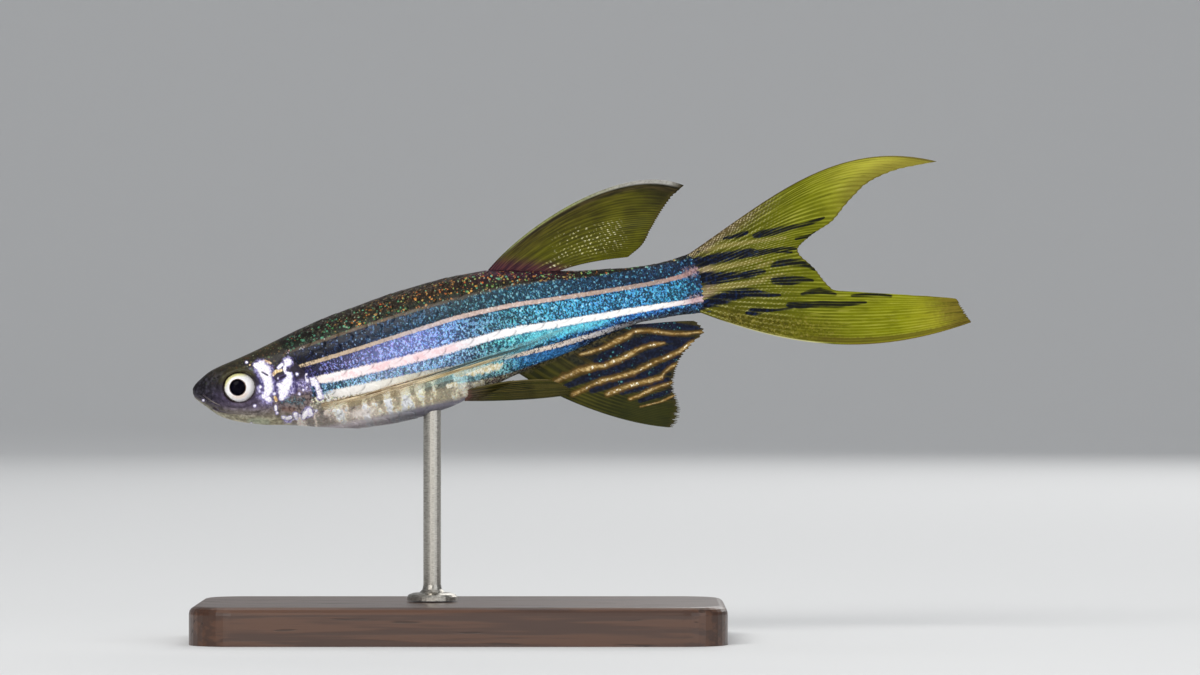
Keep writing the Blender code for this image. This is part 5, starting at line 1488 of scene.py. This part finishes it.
def dorsal_look():
    m = FinLook("danio_back_fin", (0.25, 0.58))
    m.colour = m.mix(m.step(m.cloud, 0.30, 0.70), rgb(62, 61, 4), rgb(84, 84, 6))
    m.alpha = m.add(0.975, m.times(m.add(m.silk, -0.5), 0.04))
    m.lay(m.times(m.gap, 0.42), rgb(48, 44, 14))
    fine_ray = m.step(m.add(m.wave, m.times(m.add(m.silk, -0.5), 0.9)), 0.58, 0.98)
    m.lay(m.times(fine_ray, m.step(m.across, 0.05, 0.4, 0.22, 0.52)), rgb(106, 104, 28))
    m.lay(m.times(m.step(m.silk, 0.58, 0.74), 0.34), rgb(116, 114, 36))
    m.lay(m.times(m.step(m.silk, 0.42, 0.30), 0.40), rgb(40, 38, 8))
    # Brown towards the leading edge and the root, purple at the very root, dark at the tip.
    fore = m.times(m.step(m.across, 0.60, 0.02), m.step(m.out_, 0.95, 0.25, 0.45, 1.0))
    m.lay(m.times(fore, 0.70), m.mix(m.step(m.silk, 0.4, 0.6), rgb(46, 38, 16), rgb(78, 68, 24)))
    root = m.step(m.add(m.run, m.times(m.add(m.silk, -0.5), 1.6)), 2.1, 0.7)
    m.lay(m.times(root, 0.85), m.mix(m.step(m.silk, 0.42, 0.60), rgb(54, 20, 42), rgb(92, 44, 56)))
    # Rows of bright specks stand on the rays of the middle.
    a, b = m.attr("along"), m.attr("up")
    where = m.times(m.step(a, 0.725, 0.775), m.step(a, 0.895, 0.850))
    where = m.times(where, m.times(m.step(b, 3.2, 3.8), m.step(b, 5.7, 5.0)))
    where = m.math("MAXIMUM", where, m.times(m.times(m.step(a, 0.70, 0.74), m.step(a, 0.86, 0.82)), m.times(m.step(m.run, 0.9, 1.1), m.step(m.run, 1.9, 1.5))))
    hit = m.times(m.times(m.bead, m.step(m.wave, 0.45, 0.8)), m.step(m.add(m.rand_2, m.times(m.add(m.silk, -0.5), 0.7)), 0.60, 0.74))
    m.lay(m.times(m.times(hit, where), 0.9), m.mix(m.step(m.rand, 0.3, 0.8), rgb(198, 190, 122), rgb(244, 238, 196)))
    m.solid(m.times(m.math("MAXIMUM", m.math("MAXIMUM", fore, root), m.ray), 0.94))
    dusk = m.times(m.step(m.out_, 0.78, 0.97), m.step(m.across, 0.42, 0.06))
    m.lay(m.times(dusk, 0.90), rgb(34, 31, 14))
    ends = m.step(m.out_, 0.972, 0.992)
    m.lay(m.times(ends, 0.6), rgb(66, 58, 24))
    inner = m.times(m.step(m.add(m.across, m.times(m.add(m.silk, -0.5), 0.02)), 0.110, 0.060), m.step(m.out_, 0.05, 0.3))
    m.lay(m.times(inner, 0.86), m.mix(m.step(m.silk, 0.40, 0.62), rgb(30, 27, 14), rgb(62, 52, 30)))
    edge = m.times(m.step(m.add(m.across, m.times(m.wobble, 0.008)), 0.042, 0.022), m.times(m.step(m.out_, 0.10, 0.26), m.step(m.out_, 1.0, 0.93)))
    m.lay(m.times(edge, m.step(m.grain, 0.25, 0.6, 0.55, 0.95)), m.mix(m.step(m.out_, 0.45, 0.8), rgb(140, 144, 92), rgb(176, 174, 168)))
    m.solid(m.times(m.math("MAXIMUM", dusk, inner), 0.97))
    return m.finish_look()


GOLD_ANAL = [
    [(706.2, 331.0, 0.9), (687.7, 333.6, 1.2), (672.3, 333.8, 1.3), (661.5, 332.3, 1.4), (649.2, 330.3, 1.5), (633.8, 331.5, 1.6), (626.2, 336.2, 1.8), (613.8, 342.3, 1.8), (601.5, 348.5, 1.7), (592.3, 351.5, 1.5), (580.0, 354.6, 1.0)],
    [(664.6, 343.1, 1.0), (653.8, 344.6, 1.4), (646.2, 346.2, 1.7), (636.9, 350.0, 1.7), (627.7, 356.2, 1.8), (615.4, 360.8, 1.9), (603.1, 365.4, 1.9), (592.3, 367.7, 1.9), (580.0, 370.0, 2.0), (566.2, 376.2, 2.1), (553.8, 382.3, 1.8), (546.0, 386.5, 1.2)],
    [(700.0, 338.5, 0.9), (690.8, 343.1, 1.4), (680.0, 351.5, 1.5), (667.7, 356.9, 1.7), (656.9, 361.5, 1.8), (646.2, 366.9, 1.8), (633.8, 372.3, 1.8), (618.5, 376.9, 1.8), (603.1, 380.8, 1.8), (590.8, 385.4, 1.8), (580.0, 391.5, 1.8), (572.3, 394.6, 1.4)],
    [(680.0, 362.3, 1.2), (669.2, 368.5, 1.6), (664.0, 373.0, 1.5), (661.5, 377.7, 1.6), (649.2, 380.8, 1.7), (638.5, 383.1, 1.7), (627.7, 386.2, 1.8), (615.4, 390.8, 1.8), (607.7, 394.6, 1.6)],
    [(673.1, 382.3, 1.1), (664.6, 384.6, 1.4), (653.8, 388.5, 1.5), (641.5, 394.6, 1.4), (630.0, 399.0, 1.1)],
    [(640.0, 407.0, 0.6), (660.0, 402.0, 0.7), (678.0, 394.0, 0.6)],
]
DARK_ANAL = [
    [(612.0, 329.0, 1.6), (624.0, 325.4, 2.6), (645.0, 322.6, 3.4), (668.0, 325.0, 3.6), (688.0, 327.6, 2.4), (703.0, 328.0, 1.0)],
    [(600.0, 356.8, 2.4), (615.0, 351.4, 3.6), (635.0, 343.0, 4.2), (655.0, 338.6, 3.4), (680.0, 340.6, 2.6), (694.0, 338.6, 1.2)],
    [(596.0, 360.4, 2.4), (622.0, 365.4, 3.6), (640.0, 359.0, 4.0), (655.0, 352.6, 4.0), (672.0, 347.6, 3.0), (684.0, 343.0, 1.6)],
    [(560.0, 389.0, 1.8), (580.0, 380.6, 3.2), (600.0, 373.6, 3.4), (618.0, 370.0, 3.0)],
    [(592.0, 390.4, 2.6), (614.0, 383.6, 3.2), (636.0, 377.6, 3.2), (650.0, 373.4, 3.2), (668.0, 364.0, 2.6), (678.0, 357.4, 1.8)],
    [(622.0, 392.6, 2.2), (646.0, 386.8, 2.4), (668.0, 379.6, 2.0)],
    [(640.0, 401.0, 1.8), (662.0, 394.0, 2.2), (678.0, 388.0, 1.4)],
]


def anal_look():
    m = FinLook("danio_anal_fin", (0.25, 0.58))
    m.colour = m.mix(m.step(m.cloud, 0.35, 0.65), rgb(40, 42, 10), rgb(58, 58, 16))
    m.alpha = m.add(0.97, m.times(m.add(m.silk, -0.5), 0.05))
    m.lay(m.times(m.gap, 0.4), rgb(32, 30, 12))
    m.lay(m.times(m.ray, 0.34), rgb(96, 88, 32))
    m.lay(m.times(m.times(m.step(m.run, 4.0, 8.0), m.step(m.across, 0.55, 0.25)), 0.50), rgb(26, 34, 14))
    # Behind the fore third the film is nearly black and full of blue-green lights.
    rear = m.step(m.add(m.across, m.times(m.wobble, 0.15)), 0.20, 0.52)
    night = m.mix(m.step(m.add(m.rand, m.times(m.dist, -0.2)), 0.25, 0.75), rgb(12, 16, 26), rgb(44, 44, 36))
    night = m.mix(m.step(m.lanes, 0.44, 0.60), night, m.mix(m.step(m.silk, 0.4, 0.65), rgb(44, 38, 18), rgb(84, 72, 32)))
    m.lay(m.times(rear, 0.85), night)
    m.solid(m.times(rear, 0.95))
    dark = m.step(m.add(m.attr("streak"), m.times(m.wobble, 0.9)), 1.60, 0.80)
    m.lay(m.times(dark, 0.92), m.mix(m.step(m.grain, 0.42, 0.62), rgb(9, 14, 32), rgb(20, 30, 56)))
    m.solid(m.times(dark, 0.97))
    lights = m.times(m.step(m.add(m.rand_2, m.times(m.dist, -0.5)), 0.62, 0.78), m.times(m.step(m.run, 8.0, 3.0, 0.2, 1.0), m.step(m.across, 0.22, 0.5)))
    lights = m.times(lights, m.times(m.step(m.noise(1.3, 2.0), 0.46, 0.60), m.step(m.attr("streak"), 2.2, 0.9)))
    m.lay(m.times(lights, 0.80), m.mix(m.rand, rgb(24, 90, 110), rgb(110, 190, 190)))
    # The gold lines have brown edges and bright beads.
    g = m.add(m.attr("gold"), m.add(m.times(m.add(m.grain, -0.5), 1.1), m.times(m.add(m.noise(1.2, 2.0), -0.5), 2.6)))
    m.lay(m.times(m.step(g, 2.7, 1.2), 0.70), rgb(96, 70, 28))
    shine = m.step(m.add(m.times(m.rand, 0.30), m.times(m.add(m.silk, -0.5), 0.9)), -0.05, 0.50)
    m.lay(m.times(m.step(g, 1.42, 0.05), m.step(m.noise(2.0, 2.0), 0.30, 0.52, 0.60, 0.95)), m.mix(shine, rgb(142, 110, 54), rgb(226, 198, 140)))
    m.lay(m.times(m.times(m.step(g, 0.9, 0.2), m.step(m.rand_2, 0.90, 0.97)), 0.9), rgb(255, 250, 226))
    m.solid(m.times(m.step(g, 2.0, 1.2), 0.96))
    base = m.step(m.add(m.run, m.times(m.wobble, 0.4)), 0.75, 0.35)
    m.lay(m.times(base, 0.6), m.mix(m.step(m.rand, 0.3, 0.9), rgb(38, 36, 20), rgb(112, 100, 66)))
    ends = m.step(m.out_, 0.965, 0.99)
    m.lay(m.times(ends, 0.5), rgb(70, 60, 34))
    return m.finish_look()


def pectoral_look():
    m = FinLook("danio_breast_fin", (0.18, 0.50), 0.42)
    m.colour = m.mix(m.step(m.out_, 0.35, 0.75), rgb(170, 154, 112), rgb(120, 206, 222))
    m.alpha = m.add(m.step(m.out_, 0.35, 0.75, 0.14, 0.20), m.times(m.add(m.lanes, -0.5), 0.20))
    # Bundles of rays, each its own gold, cream or pinkish brown.
    tint = m.ramp(m.lanes, [(0.30, rgb(120, 88, 52)), (0.42, rgb(196, 148, 88)), (0.52, rgb(236, 204, 146)), (0.62, rgb(214, 164, 128)), (0.74, rgb(150, 138, 96))])
    upper = m.step(m.across, 0.62, 0.30)
    tint = m.mix(m.step(m.out_, 0.45, 0.80), tint, m.vector("MULTIPLY", tint, (0.50, 0.62, 0.72)))
    show = m.times(m.step(m.add(m.wave, m.times(m.add(m.silk, -0.5), 0.9)), 0.60, 0.95), m.mix(upper, 0.40, 0.85))
    m.lay(m.times(show, 0.95), tint)
    m.solid(m.times(show, 0.90))
    full = m.times(m.times(m.step(m.across, 0.12, 0.19), m.step(m.across, 0.80, 0.50)), m.step(m.out_, 0.98, 0.62))
    strand = m.times(m.step(m.silk, 0.49, 0.40), full)
    m.lay(m.times(strand, 0.85), m.mix(m.step(m.out_, 0.50, 0.75), rgb(104, 74, 48), rgb(30, 62, 70)))
    m.solid(m.times(strand, m.step(m.out_, 0.9, 0.5, 0.60, 0.85)))
    gleam = m.times(m.step(m.silk, 0.52, 0.62), full)
    m.lay(m.times(gleam, 0.85), m.mix(m.step(m.out_, 0.45, 0.72), rgb(255, 238, 204), rgb(176, 232, 238)))
    m.solid(m.times(gleam, m.step(m.out_, 0.90, 0.40, 0.35, 0.85)))
    fore = m.step(m.across, 0.07, 0.12)
    m.alpha = m.times(m.alpha, m.step(fore, 0.0, 1.0, 0.12, 1.0))
    # A dark line lies along the leading rays and widens outwards, with a gold one under it.
    slant = m.add(m.across, m.add(m.times(m.step(m.out_, 0.60, 0.90), -0.22), m.times(m.add(m.silk, -0.5), 0.10)))
    gold = m.times(m.times(m.step(slant, 0.34, 0.42), m.step(slant, 0.68, 0.58)), m.times(m.step(m.out_, 0.42, 0.54), m.step(m.out_, 0.86, 0.74)))
    m.lay(m.times(gold, 0.90), m.mix(m.step(m.silk, 0.40, 0.60), rgb(132, 108, 66), rgb(226, 202, 152)))
    m.solid(m.times(gold, 0.88))
    dark = m.times(m.step(slant, 0.135, 0.165), m.step(m.add(slant, m.step(m.out_, 0.40, 0.62, 0.0, -0.12)), 0.215, 0.185))
    dark = m.times(dark, m.step(m.out_, 1.0, 0.80))
    m.lay(m.times(dark, 0.92), m.mix(m.step(m.out_, 0.40, 0.60), m.mix(m.step(m.silk, 0.4, 0.6), rgb(36, 26, 20), rgb(96, 72, 48)), m.mix(m.step(m.silk, 0.4, 0.6), rgb(24, 36, 40), rgb(84, 92, 88))))
    m.solid(m.times(dark, 0.92))
    return m.finish_look()


def pelvic_look():
    m = FinLook("danio_belly_fin", (0.25, 0.55), 0.36)
    m.colour = m.mix(m.step(m.cloud, 0.35, 0.65), rgb(29, 32, 7), rgb(45, 47, 12))
    m.alpha = m.add(0.94, m.times(m.add(m.silk, -0.5), 0.10))
    m.lay(m.times(m.gap, 0.5), rgb(26, 26, 8))
    m.lay(m.times(m.ray, 0.5), m.mix(m.step(m.lanes, 0.4, 0.6), rgb(76, 70, 24), rgb(120, 104, 48)))
    m.solid(m.times(m.ray, 0.9))
    root = m.step(m.add(m.run, m.times(m.wobble, 0.5)), 0.80, 0.15)
    m.lay(m.times(root, 0.60), rgb(158, 104, 100))
    m.solid(m.times(root, 0.95))
    m.lay(m.step(m.run, 2.4, 0.6, 0.0, 0.45), m.mix(m.step(m.silk, 0.4, 0.6), rgb(74, 62, 52), rgb(136, 120, 104)))
    lead = m.step(m.across, 0.05, 0.02)
    m.lay(m.times(lead, 0.7), rgb(120, 108, 66))
    m.solid(m.times(lead, 0.9))
    return m.finish_look()


CAUDAL_FORKS, BACK_FORKS = (0.09, 0.33), (0.25, 0.58)
CAUDAL_LOOK, DORSAL_LOOK, ANAL_LOOK, PECTORAL_LOOK, PELVIC_LOOK = caudal_look(), dorsal_look(), anal_look(), pectoral_look(), pelvic_look()


for made, node, slot in (
    (build_fin("fin_caudal_rays", CAUDAL, 340, 140, flat, 14, CAUDAL_LOOK, 0.08, 0.14, TAIL_STREAKS, TAIL_PALE, 0.006, 5, 0.22, CAUDAL_FORKS, ((0.0, 0.05), (0.72, 0.05), (1.0, 0.08))), "fin_caudal", "fin_film"),
    (build_fin("fin_dorsal_rays", DORSAL, 190, 100, flat, 8, DORSAL_LOOK, 0.07, 0.13, (), (), 0.007, 8, 0.15, BACK_FORKS, ((0.0, 0.08),)), "fin_dorsal", "fin_film"),
    (build_fin("fin_anal_rays", ANAL, 230, 100, flat, 12, ANAL_LOOK, 0.07, 0.13, DARK_ANAL, GOLD_ANAL, 0.028, 13, 0.15, BACK_FORKS), "fin_anal", "anal_film"),
):
    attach(made, "root")
    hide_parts(node)

for side, sign in (("l", -1), ("r", 1)):
    breast = build_fin(f"fin_pectoral_{side}_rays", PECTORAL, 90, 150, lambda s, t, f, r, g=sign: g * pectoral_out(s, t, f, r), 7, PECTORAL_LOOK, 0.05, 0.11, (), (), 0.02, 21, 0.0, (0.18, 0.50))
    belly = build_fin(f"fin_pelvic_{side}_rays", PELVIC, 80, 90, lambda s, t, f, r, g=sign: g * pelvic_out(s, t, f, r), 7, PELVIC_LOOK, 0.05, 0.11, (), (), 0.03, 31, 0.0, (0.25, 0.55))
    for piece, node in ((breast, f"fin_pectoral_{side}"), (belly, f"fin_pelvic_{side}")):
        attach(piece, "root")
        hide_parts(node)

# ---------------------------------------------------------------- barbels
def barbel_look():
    m = Look("danio_barbel")
    grain = m.noise(6.0, 2.0)
    tip = m.attr("tip")
    m.set(
        Base_Color=m.mix(m.step(m.add(tip, m.times(m.add(grain, -0.5), 0.5)), 0.1, 0.8), rgb(58, 50, 58), rgb(112, 104, 98)),
        Roughness=0.4,
        Specular_IOR_Level=0.2,
        Coat_Weight=0.08,
        Coat_Roughness=0.15,
    )
    m.set(Normal=m.bump(grain, 0.01, 0.6))
    return m.material


BARBEL_LOOK = barbel_look()


def build_barbel(name, path, sign, thick):
    rows, around = 26, 12
    u = np.linspace(0, 1, rows)
    s, t = bezier(path, u)
    out = half_width(s, t) + 0.06 + 0.22 * ease(u / 0.25)
    out[0] -= 0.15
    line = np.stack([s, sign * out, t], -1)
    ahead = np.gradient(line, axis=0)
    ahead /= np.linalg.norm(ahead, axis=-1, keepdims=True)
    side = np.cross(ahead, np.array([0, 1.0, 0]))
    side /= np.linalg.norm(side, axis=-1, keepdims=True)
    up = np.cross(side, ahead)
    a = np.linspace(0, 2 * math.pi, around, endpoint=False)
    radius = thick / 2 * (1 - 0.72 * u**1.2)
    rings = line[:, None] + radius[:, None, None] * (np.cos(a)[None, :, None] * side[:, None] + np.sin(a)[None, :, None] * up[:, None])
    points = np.concatenate([rings.reshape(-1, 3), line[:1], line[-1:] + ahead[-1:] * radius[-1]])
    quads = grid_quads(rows, around, wrap=True)
    k = np.arange(around)
    n = (k + 1) % around
    first, last, end = rows * around, rows * around + 1, (rows - 1) * around
    tris = np.concatenate([np.stack([np.full(around, first), n, k], -1), np.stack([np.full(around, last), end + k, end + n], -1)])
    tip = np.concatenate([np.repeat(u, around), [0, 1]])
    return mesh_object(name, place(points), quads, tris, {"tip": tip}, BARBEL_LOOK)


SNOUT_BARBEL = [(0.75, -0.42), (1.05, -0.78), (1.35, -1.10), (1.75, -1.35)]
MOUTH_BARBEL = [(1.20, -1.45), (1.90, -2.00), (2.90, -2.10), (4.00, -2.45)]
for side, sign in (("l", -1), ("r", 1)):
    for kind, path, thick in (("snout", SNOUT_BARBEL, 0.12), ("mouth", MOUTH_BARBEL, 0.14)):
        piece = build_barbel(f"barbel_{kind}_{side}_soft", path, sign, thick)
        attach(piece, "root")
        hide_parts(f"barbel_{kind}_{side}")


# ---------------------------------------------------------------- display stand
def wood_look():
    m = Look("stand_wood")
    grain = m.noise(0.55, 4.0, m.stretched(0.045, 1.0, 1.0, 0.0), 0.6)
    rings = m.math("SINE", m.times(grain, 34.0))
    rings = m.step(rings, -1.0, 1.0)
    pores = m.noise(3.2, 2.0, m.stretched(0.06, 1.0, 1.0, 0.0))
    pores = m.step(pores, 0.36, 0.30)
    colour = m.mix(rings, rgb(62, 39, 27), rgb(86, 56, 38))
    colour = m.mix(m.times(m.noise(0.12, 2.0), 0.35), colour, rgb(70, 42, 28))
    colour = m.mix(m.times(pores, 0.6), colour, rgb(28, 17, 12))
    m.set(Base_Color=colour, Roughness=m.add(0.34, m.times(pores, 0.2)), Coat_Weight=0.25, Coat_Roughness=0.25)
    m.set(Normal=m.bump(m.add(m.times(rings, 0.25), m.times(pores, -1.0)), 0.03, 0.5))
    return m.material


def metal_look():
    m = Look("stand_metal")
    lines = m.noise(14.0, 2.0, m.stretched(0.25, 0.25, 2.2, 0.0))
    m.set(
        Base_Color=m.mix(m.step(lines, 0.3, 0.7), rgb(150, 146, 138), rgb(196, 192, 184)),
        Metallic=1.0,
        Roughness=m.add(0.22, m.times(lines, 0.16)),
    )
    m.set(Normal=m.bump(lines, 0.006, 0.5))
    return m.material


for node, look in (("stand_base", wood_look()), ("stand_rod", metal_look())):
    mesh = NODES[node].data
    mesh.materials.clear()
    mesh.materials.append(look)


# ---------------------------------------------------------------- studio
def studio():
    m = Look("studio_floor")
    m.set(Base_Color=rgb(226, 227, 228), Roughness=0.75, Specular_IOR_Level=0.2)
    # One seamless sweep: a flat floor that curves up into a wall all the way round, beyond every camera.
    profile = [(0.0, 0.0), (0.2, 0.0), (0.4, 0.0), (0.66, 0.0)]
    for k in range(1, 25):
        a = math.pi / 2 * k / 24
        profile.append((0.66 + 1.05 * math.sin(a), 1.25 * (1 - math.cos(a))))
    profile.append((1.71, 1.9))
    a = np.linspace(0, 2 * math.pi, 128, endpoint=False)
    points = [np.array([[0.0, 0.0, 0.0]])]
    for r, z in profile[1:]:
        points.append(np.stack([r * np.cos(a), r * np.sin(a), np.full(128, z)], -1))
    k = np.arange(128)
    tris = np.stack([np.zeros(128, int), 1 + k, 1 + (k + 1) % 128], -1)
    quads = grid_quads(len(profile) - 1, 128, 1, wrap=True, flip=True)
    floor = mesh_object("studio_sweep", np.concatenate(points), quads, tris, {}, m.material)

    world = bpy.data.worlds.new("studio")
    bpy.context.scene.world = world
    world.use_nodes = True
    background = world.node_tree.nodes["Background"]
    background.inputs[0].default_value = (0.93, 0.96, 1.0, 1.0)
    background.inputs[1].default_value = 0.22

    def soft_light(name, at, aim, size, power, colour=(1, 1, 1)):
        light = bpy.data.lights.new(name, "AREA")
        light.shape = "RECTANGLE"
        light.size, light.size_y = size
        light.energy = power
        light.color = colour
        lamp = bpy.data.objects.new(name, light)
        lamp.location = at
        lamp.rotation_mode = "QUATERNION"
        lamp.rotation_quaternion = (Vector(aim) - Vector(at)).to_track_quat("-Z", "Y")
        lamp.visible_camera = False
        bpy.context.scene.collection.objects.link(lamp)

    aim = (0.004, 0.0, 0.021)
    soft_light("key", (-0.20, -0.42, 0.36), aim, (0.34, 0.24), 2.3, (1.0, 0.985, 0.96))
    soft_light("fill", (0.42, -0.40, 0.12), aim, (0.40, 0.30), 0.6, (0.94, 0.97, 1.0))
    soft_light("top", (0.05, 0.06, 0.50), aim, (0.50, 0.30), 0.7)
    soft_light("low", (0.0, -0.30, 0.03), aim, (0.36, 0.05), 0.12, (1.0, 0.99, 0.97))
    soft_light("back", (0.20, 0.45, 0.28), aim, (0.40, 0.30), 0.8, (1.0, 0.99, 0.97))
    soft_light("backdrop", (0.0, 0.75, 1.0), (0.0, 1.35, 0.10), (0.8, 0.8), 2.0)


studio()

# ---------------------------------------------------------------- camera
camera_data = bpy.data.cameras.new("camera")
camera_data.sensor_width = 36.0
camera_data.lens = 36.0 * CAMERA_FAR / (1200 / PIXELS)
camera_data.clip_start, camera_data.clip_end = 0.01, 10.0
camera = bpy.data.objects.new("camera", camera_data)
camera.location = (CAMERA_X * MM, -CAMERA_FAR * MM, CAMERA_Z * MM)
camera.rotation_euler = (math.pi / 2, 0, 0)
bpy.context.scene.collection.objects.link(camera)
bpy.context.scene.camera = camera

bpy.context.scene.view_settings.view_transform = "Standard"
bpy.context.scene.view_settings.look = "None"
bpy.context.scene.view_settings.exposure = 0.0

bpy.context.view_layer.update()
